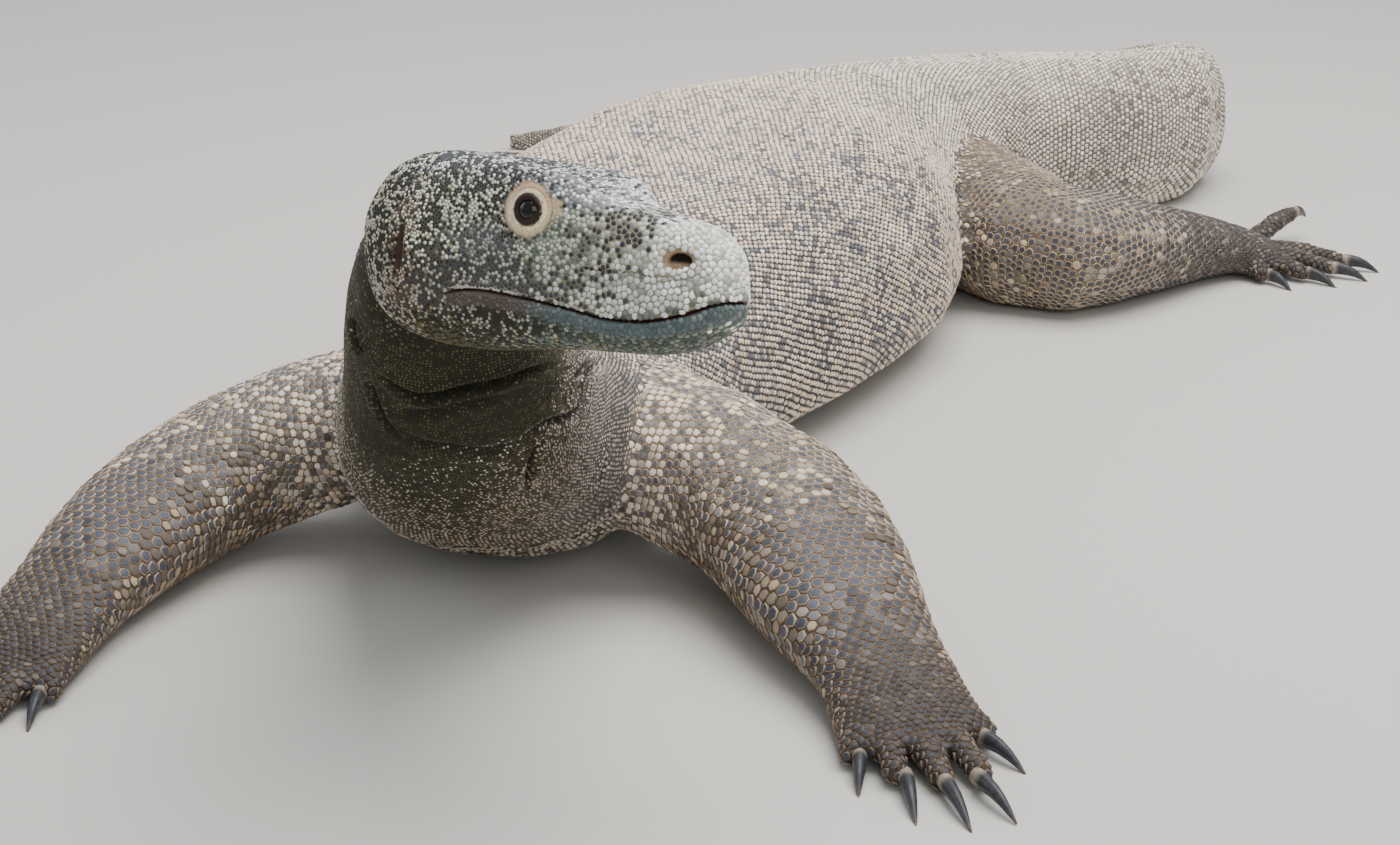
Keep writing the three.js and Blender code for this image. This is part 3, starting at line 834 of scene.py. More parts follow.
def apart(places, sizes, share):
    """True for the roots that are left when, of any two too close, the later one goes."""
    tree = tree_of(places)
    kept = np.ones(len(places), bool)
    for index in range(len(places)):
        if kept[index]:
            for _, other, _ in tree.find_range(places[index], share * sizes[index]):
                if other > index:
                    kept[other] = False
    return kept


def fill_gaps(places, faces, sizes, skin, dice):
    """Roots for the places that the rows have missed."""
    size_of = tree_of(places)
    spots, spot_faces = skin.sprinkled(np.arange(len(skin.triangles)), 260000, dice)
    found = [size_of.find(spot) for spot in spots]
    spans = sizes[[hit[1] for hit in found]]
    gaps = np.array([hit[2] for hit in found])
    bare = gaps > 0.8 * spans
    spots, spot_faces, spans = spots[bare], spot_faces[bare], spans[bare]
    bare = apart(spots, spans, 0.85)
    spots, spot_faces, spans = spots[bare], spot_faces[bare], spans[bare]
    spots, spot_faces = settled(spots, spot_faces, spans, (places, sizes), skin, 3)
    return (np.vstack([places, spots]), np.append(faces, spot_faces), np.append(sizes, spans))


def all_roots(skin):
    dice = np.random.default_rng(7)
    found = [head_roots(skin, dice)] + [rows_round(tube, skin) for tube in reversed(TUBES)]
    places, faces, sizes = (np.concatenate([part[k] for part in found]) for k in range(3))
    places, faces = skin.nearest(
        places + dice.normal(0, ROW_JITTER, places.shape) * sizes[:, None])
    kept = apart(places, sizes, 0.56)
    places, faces, sizes = fill_gaps(places[kept], faces[kept], sizes[kept], skin, dice)
    kept = apart(places, sizes, 0.5)
    return places[kept], faces[kept], sizes[kept]


# ---------------------------------------------------------------- colours

def tone(red, green, blue):
    """A colour of light from its usual 0 to 255 numbers."""
    return (np.array([red, green, blue]) / 255) ** 2.2


# Colours by place. Each zone is: its middle, its reach, the light scale, the dark scale, the
# share of light ones, the rim and the groove, the shine.
# Body: place is (percent of the way from head to tail tip, degrees round from the back).
BODY_ZONES = [
    ((2, 30), (3.5, 50), tone(182, 178, 154), tone(34, 34, 36), 0.42, tone(100, 97, 84), 0.2),
    ((3, 90), (5, 40), tone(116, 108, 78), tone(42, 40, 31), 0.45, tone(56, 52, 36), 0.1),
    # Throat: dark olive scales, darkened further as painted shade under the head.
    ((4, 180), (5, 70), tone(92, 88, 44), tone(40, 39, 18), 0.4, tone(40, 39, 17), 0.05),
    ((9, 60), (3, 60), tone(214, 198, 172), tone(66, 64, 63), 0.6, tone(96, 88, 78), 0.15),
    ((10.5, 180), (3, 70), tone(200, 178, 144), tone(72, 64, 56), 0.5, tone(84, 72, 58), 0.1),
    ((16, 0), (5, 70), tone(236, 206, 170), tone(118, 116, 120), 0.7, tone(88, 88, 94), 0.15),
    ((15, 100), (4, 45), tone(216, 200, 178), tone(112, 112, 118), 0.6, tone(104, 98, 94), 0.15),
    ((30, 0), (12, 55), tone(252, 222, 186), tone(138, 136, 140), 0.8, tone(112, 112, 118), 0.15),
    ((30, 95), (12, 40), tone(236, 206, 174), tone(112, 110, 114), 0.74, tone(76, 77, 83), 0.15),
    ((28, 180), (16, 45), tone(206, 190, 164), tone(150, 136, 118), 0.8, tone(104, 96, 86), 0.2),
    ((46, 0), (6, 90), tone(246, 226, 200), tone(158, 152, 148), 0.76, tone(126, 122, 120), 0.15),
    ((56, 0), (8, 180), tone(246, 230, 208), tone(184, 174, 164), 0.8, tone(160, 150, 142), 0.15),
    ((80, 0), (16, 180), tone(214, 198, 176), tone(140, 132, 126), 0.6, tone(120, 112, 104), 0.2),
]
# Arms, legs: place is (percent of the way down the limb, degrees round from the upper side).
ARM_ZONES = [
    ((4, 0), (14, 180), tone(232, 212, 186), tone(96, 97, 103), 0.5, tone(218, 196, 170), 0.2),
    ((30, 0), (16, 90), tone(222, 200, 172), tone(92, 94, 101), 0.2, tone(220, 198, 172), 0.3),
    ((58, 0), (16, 90), tone(150, 140, 132), tone(80, 84, 94), 0.05, tone(186, 164, 142), 0.4),
    ((50, 180), (30, 90), tone(170, 150, 124), tone(96, 90, 86), 0.5, tone(120, 100, 80), 0.2),
    ((82, 0), (12, 90), tone(132, 120, 108), tone(62, 65, 74), 0.05, tone(150, 130, 110), 0.45),
    ((104, 0), (14, 180), tone(110, 97, 86), tone(58, 60, 68), 0.06, tone(124, 106, 90), 0.4),
]
LEG_ZONES = [
    ((6, 0), (20, 180), tone(216, 190, 158), tone(104, 101, 102), 0.4, tone(156, 138, 118), 0.15),
    ((45, 0), (22, 180), tone(206, 180, 150), tone(74, 75, 82), 0.06, tone(204, 180, 152), 0.25),
    ((78, 0), (16, 180), tone(160, 140, 120), tone(66, 66, 70), 0.08, tone(136, 120, 104), 0.3),
    ((104, 0), (14, 180), tone(134, 120, 104), tone(70, 68, 72), 0.2, tone(100, 86, 74), 0.35),
]
# Head: place is (x, y, z) in mm in its own frame.
HEAD_ZONES = [
    ((30, 10, 45), (60, 40, 20), tone(232, 236, 228), tone(58, 63, 72), 0.42,
     tone(150, 152, 146), 0.3),
    ((106, 20, 34), (28, 20, 12), tone(240, 244, 244), tone(132, 138, 147), 0.55,
     tone(168, 168, 160), 0.4),
    ((50, 48, 24), (26, 30, 12), tone(214, 216, 190), tone(38, 40, 46), 0.42,
     tone(140, 138, 116), 0.25),
    ((22, 50, 8), (20, 30, 18), tone(226, 228, 198), tone(44, 46, 48), 0.58,
     tone(140, 138, 112), 0.2),
    ((46, 50, 2), (14, 30, 9), tone(150, 154, 150), tone(72, 76, 84), 0.3,
     tone(150, 146, 128), 0.35),
    ((30, 50, -20), (22, 30, 12), tone(170, 166, 140), tone(56, 58, 62), 0.4,
     tone(118, 112, 94), 0.2),
    ((62, 46, -20), (24, 30, 9), tone(168, 170, 160), tone(62, 65, 70), 0.34,
     tone(132, 126, 108), 0.35),
    ((2, 56, -14), (9, 30, 30), tone(170, 152, 130), tone(84, 72, 64), 0.6,
     tone(96, 80, 70), 0.15),
    ((104, 30, 2), (14, 30, 12), tone(186, 198, 178), tone(96, 104, 98), 0.74,
     tone(160, 166, 138), 0.35),
    ((128, 24, 8), (18, 30, 16), tone(184, 190, 182), tone(52, 56, 64), 0.45,
     tone(196, 188, 156), 0.4),
    ((116, 26, -20), (22, 30, 10), tone(188, 196, 190), tone(56, 60, 66), 0.62,
     tone(176, 168, 138), 0.4),
    ((150, 18, -18), (20, 30, 12), tone(202, 210, 210), tone(92, 98, 104), 0.84,
     tone(190, 182, 154), 0.45),
    # Snout: pale scales, lightened further as painted light.
    ((186, 8, 0), (26, 30, 22), tone(248, 252, 253), tone(172, 176, 180), 0.92,
     tone(222, 216, 192), 0.45),
    ((198, 6, -25), (22, 30, 9), tone(146, 156, 144), tone(92, 102, 94), 0.5,
     tone(150, 154, 132), 0.5),
    ((172, 22, 2), (13, 30, 11), tone(226, 228, 218), tone(200, 202, 194), 0.9,
     tone(200, 194, 172), 0.45),
    ((140, 14, -46), (50, 40, 9), tone(110, 120, 110), tone(66, 76, 70), 0.5,
     tone(72, 78, 62), 0.5),
    ((172, 12, -40), (34, 30, 9), tone(112, 124, 114), tone(72, 82, 76), 0.5,
     tone(84, 90, 74), 0.5),
    ((150, 0, -62), (50, 40, 14), tone(122, 120, 84), tone(84, 84, 58), 0.6,
     tone(70, 70, 44), 0.3),
    ((70, 40, -44), (26, 30, 10), tone(156, 154, 132), tone(48, 48, 44), 0.34,
     tone(72, 68, 54), 0.3),
    # Throat's start: dark olive scales, darkened further as painted shade under the jaw.
    ((40, 30, -70), (50, 50, 18), tone(96, 90, 56), tone(46, 44, 28), 0.45,
     tone(50, 46, 28), 0.1),
    ((-20, 30, 10), (22, 60, 40), tone(184, 180, 154), tone(30, 30, 33), 0.42,
     tone(100, 97, 82), 0.2),
]
LID = tone(252, 240, 204)
LID_EDGE = tone(44, 30, 24)
LID_UPPER = tone(212, 178, 150)
LID_FOLD = tone(176, 138, 108)
LIP = tone(84, 97, 99)
LIP_REAR = tone(82, 73, 65)
LIP_EDGE = tone(212, 204, 190)
MOUTH = tone(60, 30, 28)
NOSTRIL = tone(196, 168, 140)
# Painted shadow for the deep, upper part of the nostril pit.
NOSTRIL_SHADOW = tone(30, 20, 16)
EAR = tone(92, 72, 60)
FOLD_SHADE = 0.62                # how much darker the bottoms of the folds are


SMALL_SHARE = 0.1                # of the strongest zone's, below which a zone is left out


def zone_mix(zones, places):
    """Each zone's share of each place, sharpened so that its own colours rule its middle."""
    middles = np.array([zone[0] for zone in zones], float)
    reaches = np.array([zone[1] for zone in zones], float)
    far = np.sum(((places[:, None] - middles) / reaches) ** 2, axis=2)
    share = np.exp(far.min(1)[:, None] - far)
    share[share < SMALL_SHARE] = 0
    return share / share.sum(1, keepdims=True)


class Places:
    """Where each of many points of the skin is, in the terms that the colours use."""

    def __init__(self, points, vertex, fields):
        self.points = points
        self.h = mirrored(to_head(points)) / mm
        self.body, self.limb, self.blend = (fields[k][vertex] for k in ("body", "limb", "blend"))
        self.masks = {name: values[vertex] for name, values in fields["masks"].items()}


NECK_BEND = 0.8                  # the neck's inner side is this much shorter than its line


def skin_fields(skin):
    """Place on the body's line and on the limb's, and soft shares of the kinds of skin."""
    share, turn = TUBES[0].place_of(skin.points)
    inside = np.clip(np.sin(turn), 0, 1) * step(0.14, 0.08, share)
    share = share * (1 + NECK_BEND * inside)
    body = np.stack([100 * share, np.degrees(np.abs(turn))], 1)
    limb = np.zeros_like(body)
    for number in LIMBS:
        index = np.flatnonzero(skin.tube == number)
        share, turn = TUBES[number].place_of(skin.points[index])
        limb[index] = np.stack([100 * share, np.degrees(np.abs(turn))], 1)
    limb[skin.tube >= TOES[0], 0] = 106
    kinds = np.array(["body"] + [tube.kind for tube in TUBES[1:]] + ["head"])
    for number in TOES:
        kinds[number] = "arm" if "hand" in TUBES[number].name else "leg"
    kind = kinds[skin.tube]
    blend = np.stack([kind == name for name in ("body", "arm", "leg", "head")], 1).astype(float)
    edges = edges_of(skin.mesh)
    for _ in range(24):
        blend = mixed(blend, neighbour_mean(blend, edges), 0.7)
    blend = step(0.12, 0.88, blend)
    blend /= blend.sum(1, keepdims=True)
    return {"body": body, "limb": limb, "blend": blend, "masks": skin.masks}


def zone_tables(places):
    """Every zone, and its share of every place."""
    shares = [
        zone_mix(zones, spots) * places.blend[:, k:k + 1]
        for k, (zones, spots) in enumerate((
            (BODY_ZONES, places.body), (ARM_ZONES, places.limb), (LEG_ZONES, places.limb),
            (HEAD_ZONES, places.h)))]
    return BODY_ZONES + ARM_ZONES + LEG_ZONES + HEAD_ZONES, np.concatenate(shares, axis=1)


def lid_share(places):
    """1 on the bare lids round the eye, which reach further in front, and 0 away from them."""
    around, away = places.masks["round_eye"], places.masks["from_eye"]
    front = np.exp(-((around - 0.15) / 0.3) ** 2)
    reach = LID_REACH + 0.8 * np.clip(np.sin(around), 0, 1) + 6.5 * front
    return step(reach + 0.5, reach - 0.5, away)


def lip_share(places):
    """1 on the smooth band of the lower lip."""
    height = places.masks["mouth_height"]
    return places.masks["lips"] * step(0.4, -1.0, height) * step(-8.5, -6.5, height)


def bare_parts(places, color, shine):
    """Paints the parts with no scales over the colour: lids, lips, nostrils, mouth and ears."""
    masks = places.masks
    away, around, height = masks["from_eye"], masks["round_eye"], masks["mouth_height"]

    def paint(paint_color, share, gloss):
        nonlocal color, shine
        share = np.clip(share, 0, 1)[:, None]
        color = mixed(color, paint_color, share)
        shine = mixed(shine, gloss, share[:, 0])

    lids = lid_share(places)
    spotted = 0.86 + 0.14 * noise(places.points, 3 * mm, 5)
    paint(LID * spotted[:, None], lids, 0.35)
    furrow = np.cos(2 * math.pi * (away - 7 - LID_RING_GAP / 2) / LID_RING_GAP)
    paint(LID_FOLD, lids * step(0.2, 1, furrow) * step(8, 9, away) * 0.5, 0.25)
    paint(LID_FOLD, lids * step(11, 13, away) * 0.55, 0.25)
    paint(LID_UPPER, lids * step(0.1, 0.9, np.sin(around)) * step(9, 12, away) * 0.7, 0.3)
    speckled = noise(places.points, 1.5 * mm, 9)
    paint(LID_EDGE, step(8.8, 7.9, away + 0.5 * speckled), 0.6)
    paint(LID_EDGE, step(0.2, 0.5, speckled) * step(10.6, 9, away) * 0.7, 0.4)
    paint(LID_EDGE, lids * step(0.1, 0.5, speckled) * step(13.2, 14.6, away) * 0.7, 0.3)
    forward = step(70, 104, places.h[:, 0])
    paint(mixed(LIP_REAR, LIP, forward[:, None]), lip_share(places) * 0.9, 0.85)
    rear = masks["lips"] * step(0.3, 0.9, height) * step(2.8, 1.8, height)
    paint(LIP_EDGE, rear * step(100, 76, places.h[:, 0]), 0.5)
    narrow = mixed(0.55, 1.0, step(60, 110, places.h[:, 0]))
    paint(MOUTH, masks["lips"] * step(1.3, 0.5, np.abs(height) / narrow), 0.5)
    paint(NOSTRIL, step(0.1, 0.5, masks["nostril"]), 0.35)
    # Painted shadow: the deep, upper part of the nostril pit is painted near black.
    paint(NOSTRIL_SHADOW, step(0.5, 0.85, masks["nostril"]) * step(-2, 1, places.h[:, 2]), 0.2)
    paint(EAR, masks["ear"] * 0.9, 0.2)
    return color, shine


LIMB_GAP_SHADE = 0.42            # how much darker the skin between the limbs' scales is


def skin_tints(places):
    """Colour and shine of the skin itself, which shows between the scales."""
    zones, shares = zone_tables(places)
    rims = np.array([zone[5] for zone in zones])
    shine = shares @ np.array([zone[6] for zone in zones])
    # Skin between the scales: the groove colour with mottling, plus painted shade in the folds and
    # between the limbs' scales.
    mottle_and_shade = 0.48 + 0.10 * noise(places.points, 24 * mm, 2) + 0.07 * noise(places.points, 5 * mm, 3)
    mottle_and_shade *= 1 - FOLD_SHADE * places.masks["folds"]
    mottle_and_shade *= 1 - LIMB_GAP_SHADE * places.blend[:, 1:3].sum(1)
    color, shine = bare_parts(places, shares @ rims * mottle_and_shade[:, None], shine)
    return np.column_stack([color, shine])


def patches(places):
    """-1 to 1: the body's cloudy bands, slanted across it, and small groups of like scales."""
    along, round_it = places.body.T
    slant = np.stack([along * 2.3 + round_it * 0.03, round_it / 30, along * 0], 1) / 100
    bands = noise(slant, 0.035, 4)
    clouds = noise(places.points, 42 * mm, 6)
    return 0.5 * bands + 0.5 * clouds + 0.4 * noise(places.points, 9 * mm, 8)


EYE_RING_SHADE = 0.45            # how much darker the scales next to the lids are
GREYER = 0.6                     # how far the light scales may turn grey, each by its own share


def scale_tints(places, dice):
    """Colour and shine of each scale's top and rim."""
    zones, shares = zone_tables(places)
    edges = np.cumsum(shares, axis=1)
    zone = (dice.random((len(shares), 1)) * edges[:, -1:] > edges).sum(1).clip(0, len(zones) - 1)
    light, dark, rim = (np.array([z[k] for z in zones])[zone] for k in (2, 3, 5))
    clouds = patches(places)
    chance = np.array([z[4] for z in zones])[zone]
    chance += mixed(0.30, 0.10, places.blend[:, 1:3].sum(1)) * clouds
    soft = mixed(0.22, 0.1, places.blend[:, 3])
    is_light = step(-soft, soft, chance - dice.random(len(zone)))[:, None]
    fade = dice.normal(1, 0.13, (len(zone), 1)) + 0.10 * clouds[:, None]
    grey = light.mean(1, keepdims=True)
    light = mixed(light, grey, dice.random((len(zone), 1)) * GREYER)
    shade = 1 - FOLD_SHADE * places.masks["folds"][:, None]
    shade *= 1 - EYE_RING_SHADE * step(5, 1, places.masks["from_eye"] - LID_REACH)[:, None]
    top = mixed(dark, light, is_light) * fade * shade
    rim = mixed(rim, light, 0.2 * is_light) * dice.normal(1, 0.08, (len(zone), 1)) * shade
    shine = np.array([z[6] for z in zones])[zone]
    lip = lip_share(places)[:, None]
    lip_color = mixed(LIP_REAR, LIP, step(70, 104, places.h[:, :1]))
    top = mixed(top, lip_color * fade, lip * 0.9)
    rim = mixed(rim, lip_color * 0.85, lip * 0.9)
    shine = mixed(shine, 0.85, lip[:, 0])
    return np.column_stack([top, shine]), np.column_stack([rim, shine])


# ---------------------------------------------------------------- scales

# Kinds of scale: corners; rings from the foot up to the apex, each a (share of the way out,
# share of the height, share of the core's colour); height in mm; tilt (how much more the tailward
# side stands up); width of the groove in mm; how dark the painted shadow on the tailward edge is.
FOOT = (1, -0.4, 0)
SCALE_KINDS = {
    "granule": (6, (FOOT,), 0.6, 0, 0.15, 0),
    "bead": (6, (FOOT, (0.56, 0.9, 1)), 0.8, 0.12, 0.4, 0.2),
    "arm": (6, (FOOT, (0.93, 0.66, 0), (0.80, 0.92, 1)), 1.0, 0.5, 0.5, 0.9),
    "leg": (6, (FOOT, (0.91, 0.62, 0), (0.76, 0.92, 1)), 0.95, 0.45, 0.5, 0.85),
    "head": (6, (FOOT, (0.82, 0.9, 1)), 0.55, 0.10, 0.16, 0),
}
CELL_LIMIT = 0.76                # of a scale's size, from its root to its edge
UV_PATCH = 0.0015                # half of a scale's patch on the coat's unwrap


class Scales:
    """Roots with their cells, ready to be made into mesh."""

    def __init__(self, skin, roots, fields):
        self.at, faces, self.size = roots
        corners = skin.triangles[faces]
        self.normal = unit(skin.normals[corners].mean(1))
        self.vertex = corners[:, 0]
        self.stature = np.random.default_rng(5).normal(1, 0.12, len(self.at))
        self.tube = skin.tube[self.vertex]
        self.along, self.across = self.lie()
        self.places = Places(self.at, self.vertex, fields)
        self.share, self.turn = self.unwrap()

    def lie(self):
        """Direction towards the tail or the limb's tip along the skin, and square to it."""
        way = np.tile(-HEAD[:, 0], (len(self.at), 1))
        for tube in TUBES:
            mine = np.flatnonzero(self.tube == tube.number)
            if len(mine):
                near = [tube.tree.find(point)[1] for point in self.at[mine]]
                way[mine] = tube.way[near]
        way = unit(way - np.sum(way * self.normal, 1)[:, None] * self.normal)
        return way, np.cross(self.normal, way)

    def unwrap(self):
        """Place along each scale's own line and angle round it; the head is taken as a line."""
        share, turn = np.zeros(len(self.at)), np.zeros(len(self.at))
        for tube in TUBES:
            mine = self.tube == tube.number
            if mine.any():
                share[mine], turn[mine] = tube.place_of(self.at[mine])
        h = to_head(self.at)
        on_head = self.tube == HEAD_TUBE
        share[on_head] = h[on_head, 0] / 0.3
        turn[on_head] = np.arctan2(h[on_head, 1], h[on_head, 2] + 10 * mm)
        return share, turn

    def cells(self, corners, chosen, turned=0.0):
        """Distance from each root to its cell's edge at evenly spread angles, and the angles."""
        angles = np.arange(corners) * 2 * math.pi / corners + turned
        at, size = self.at[chosen], self.size[chosen]
        near = self.near[chosen]
        out = self.at[near] - at[:, None]
        u = np.einsum("nkj,nj->nk", out, self.along[chosen])
        v = np.einsum("nkj,nj->nk", out, self.across[chosen])
        flat = np.maximum(np.hypot(u, v), 1e-6)
        facing = np.einsum("nkj,nj->nk", self.normal[near], self.normal[chosen]) > 0
        gap = np.where(facing, np.linalg.norm(out, axis=2), 1)
        share = size[:, None] / (size[:, None] + self.size[near])
        lean = (u[..., None] * np.cos(angles) + v[..., None] * np.sin(angles)) / flat[..., None]
        edge = (gap * share)[..., None] / np.maximum(lean, 0.05)
        return np.minimum(edge.min(1), CELL_LIMIT * size[:, None]), angles

    def find_neighbours(self):
        tree = tree_of(self.at)
        self.near = np.array(
            [[hit[1] for hit in tree.find_n(point, 11)][1:] for point in self.at])


def rings_joined(corners, rings):
    """Triangles of one scale: `rings` rings of corners, one inside the next, and an apex."""
    k = np.arange(corners)
    after = (k + 1) % corners
    faces = []
    for start in np.arange(rings - 1) * corners:
        faces.append(np.stack([k, after, corners + after], 1) + start)
        faces.append(np.stack([k, corners + after, corners + k], 1) + start)
    last = (rings - 1) * corners
    faces.append(np.stack([last + k, last + after, np.full(corners, rings * corners)], 1))
    return np.concatenate(faces)


def scale_mesh(name, scales, chosen, kind, tops, rims):
    """One joined mesh of the chosen scales."""
    corners, rings, height, tilt, groove, edge = SCALE_KINDS[kind]
    reach, angles = scales.cells(corners, chosen)
    angles = np.tile(angles, (len(chosen), 1))
    other, turned = scales.cells(corners, chosen, math.pi / corners)
    better = (np.prod(other, 1) > np.prod(reach, 1))[:, None]
    reach = np.where(better, other, reach)
    angles = np.where(better, turned, angles)
    if kind == "bead":
        reach = mixed(reach, reach.mean(1, keepdims=True), 0.5)
    size = scales.size[chosen][:, None]
    height = height * mm * np.minimum(size / (5 * mm), 1) ** 0.5 * scales.stature[chosen][:, None]
    foot = np.maximum(reach - groove * mm / 2, 0.3 * reach)
    at, normal, along, across = (
        values[chosen][:, None] for values in (scales.at, scales.normal, scales.along, scales.across))
    tailward = np.cos(angles)
    levels, tints = [], []
    for out, up, core in rings:
        lean = 0.06 * size * (1 - out)
        distance = foot * out
        lift = height * (up + tilt * tailward * max(up, 0))
        levels.append(at + along * (distance * tailward + lean)[..., None]
                      + across * (distance * np.sin(angles))[..., None] + normal * lift[..., None])
        # Painted shadow: the foot ring's tailward corners are darkened where one row of scales
        # overlaps the next.
        shade = 1 - edge * (1 - core) * np.clip(tailward, 0, 1) ** 2 * (out > 0.95)
        tint = np.repeat(mixed(rims, tops, core)[chosen][:, None], corners, axis=1)
        tint[..., :3] *= shade[..., None]
        tints.append(tint)
    levels.append(at + normal * height[..., None] + along * (0.06 * size)[..., None])
    tints.append(tops[chosen][:, None])
    points = np.concatenate(levels, axis=1)
    points[..., 2] = np.maximum(points[..., 2], 0)
    each = points.shape[1]
    faces = rings_joined(corners, len(rings))
    starts = (np.arange(len(chosen)) * each)[:, None, None]
    mesh = mesh_of(name, points.reshape(-1, 3), (faces[None] + starts).reshape(-1, 3))
    set_tint(mesh, np.concatenate(tints, axis=1).reshape(-1, 4))
    add_unwrap(mesh, scales, chosen, angles, rings)
    return mesh


def add_unwrap(mesh, scales, chosen, angles, rings):
    """OFBake: each scale is a small patch at its root's place on the unwrapped skin."""
    share, turn = scales.share[chosen], scales.turn[chosen]
    middle = np.stack([
        0.02 + 0.96 * (share - share.min()) / max(np.ptp(share), 1e-6),
        0.02 + 0.96 * (turn + math.pi) / (2 * math.pi)], 1)
    ring = np.stack([np.cos(angles), np.sin(angles)], 2) * UV_PATCH
    levels = [ring * out for out, _, _ in rings]
    spread = np.concatenate(levels + [np.zeros((len(chosen), 1, 2))], axis=1)
    places = (middle[:, None] + spread).reshape(-1, 2)
    loops = np.empty(len(mesh.loops), int)
    mesh.loops.foreach_get("vertex_index", loops)
    layer = mesh.uv_layers.new(name="OFBake")
    layer.uv.foreach_set("vector", places[loops].astype(np.float32).ravel())


# ---------------------------------------------------------------- materials

def tinted_material(name, rough, shiny, grain, wrinkle, spread):
    """Colour from the Tint with fine mottling; roughness from its shine; bump from the grain."""
    material = bpy.data.materials.new(name)
    material.use_nodes = True
    nodes, links = material.node_tree.nodes, material.node_tree.links
    shader = nodes["Principled BSDF"]
    shader.inputs["Specular IOR Level"].default_value = 0.3
    tint = nodes.new("ShaderNodeAttribute")
    tint.attribute_name = "Tint"
    place = nodes.new("ShaderNodeTexCoord")

    def noise_node(scale, detail):
        node = nodes.new("ShaderNodeTexNoise")
        node.inputs["Scale"].default_value = scale
        node.inputs["Detail"].default_value = detail
        links.new(place.outputs["Object"], node.inputs["Vector"])
        return node.outputs["Fac"]

    def ranged(value, low, high, start=0.3, end=0.7):
        node = nodes.new("ShaderNodeMapRange")
        node.inputs["From Min"].default_value = start
        node.inputs["From Max"].default_value = end
        node.inputs["To Min"].default_value = low
        node.inputs["To Max"].default_value = high
        links.new(value, node.inputs["Value"])
        return node.outputs["Result"]

    mottle = nodes.new("ShaderNodeMix")
    mottle.data_type = "RGBA"
    mottle.blend_type = "MULTIPLY"
    mottle.inputs["Factor"].default_value = 1
    links.new(tint.outputs["Color"], mottle.inputs["A"])
    grey = nodes.new("ShaderNodeCombineColor")
    value = ranged(noise_node(grain, 4), 1 - spread, 1 + spread)
    for channel in ("Red", "Green", "Blue"):
        links.new(value, grey.inputs[channel])
    links.new(grey.outputs["Color"], mottle.inputs["B"])
    links.new(mottle.outputs["Result"], shader.inputs["Base Color"])

    gloss = ranged(tint.outputs["Alpha"], rough, shiny, 0, 1)
    sum_node = nodes.new("ShaderNodeMath")
    sum_node.operation = "ADD"
    links.new(gloss, sum_node.inputs[0])
    links.new(ranged(noise_node(grain * 0.6, 2), -0.06, 0.06), sum_node.inputs[1])
    links.new(sum_node.outputs["Value"], shader.inputs["Roughness"])

    bump = nodes.new("ShaderNodeBump")
    bump.inputs["Strength"].default_value = 0.5
    bump.inputs["Distance"].default_value = wrinkle
    links.new(noise_node(grain * 1.7, 5), bump.inputs["Height"])
    links.new(bump.outputs["Normal"], shader.inputs["Normal"])
    return material


# ---------------------------------------------------------------- the pieces

COAT_LIMIT = 190000              # triangles to a piece of coat


def kinds_of(scales):
    """The kind of scale at each root."""
    kind = np.full(len(scales.at), "bead", dtype=object)
    kind[scales.tube == HEAD_TUBE] = "head"
    kind[(scales.tube == 0) & (scales.size < 3.6 * mm)] = "granule"
    for tube in TUBES[1:]:
        on_arm = "arm" in tube.name or "hand" in tube.name
        kind[scales.tube == tube.number] = "arm" if on_arm else "leg"
    return kind


def bare(scales):
    """True where the skin has no scales: round the eye, in the mouth's line, nostril and ear."""
    masks = scales.places.masks
    at_eye = (lid_share(scales.places) > 0.3) | (masks["from_eye"] < 9)
    at_mouth = np.abs(masks["mouth_height"]) < 1.3
    return at_eye | at_mouth | (masks["nostril"] > 0.12) | (masks["ear"] > 0.5)


def add_coat(scales, material):
    dice = np.random.default_rng(11)
    tops, rims = scale_tints(scales.places, dice)
    kind = kinds_of(scales)
    shown = ~bare(scales) & (scales.at[:, 2] > 1.0 * mm)
    for name, (corners, rings, *_) in SCALE_KINDS.items():
        chosen = np.flatnonzero(shown & (kind == name))
        chosen = chosen[np.argsort(scales.tube[chosen], kind="stable")]
        per_piece = COAT_LIMIT // (corners * (2 * len(rings) - 1))
        for number, start in enumerate(range(0, len(chosen), per_piece), 1):
            part = chosen[start:start + per_piece]
            mesh = scale_mesh(f"coat_{name}_{number}", scales, part, name, tops, rims)
            add_piece(mesh.name, mesh, material)


# Eyeball: (degrees from its axis, bulge in mm, colour) from the middle of the pupil outwards.
EYE_STEPS = [
    (0, 0.55, tone(6, 6, 8)),
    (12, 0.5, tone(6, 6, 8)),
    (20, 0.42, tone(8, 7, 8)),
    (22, 0.38, tone(18, 13, 11)),
    (28, 0.2, tone(30, 20, 14)),
    (32, 0.06, tone(22, 15, 12)),
    (34, 0, tone(12, 9, 8)),
    (38, 0, tone(34, 26, 22)),
    (52, 0, tone(48, 38, 32)),
    (90, 0, tone(90, 66, 56)),
    (140, 0, tone(80, 58, 50)),
]
EYE_SPOKES = 48


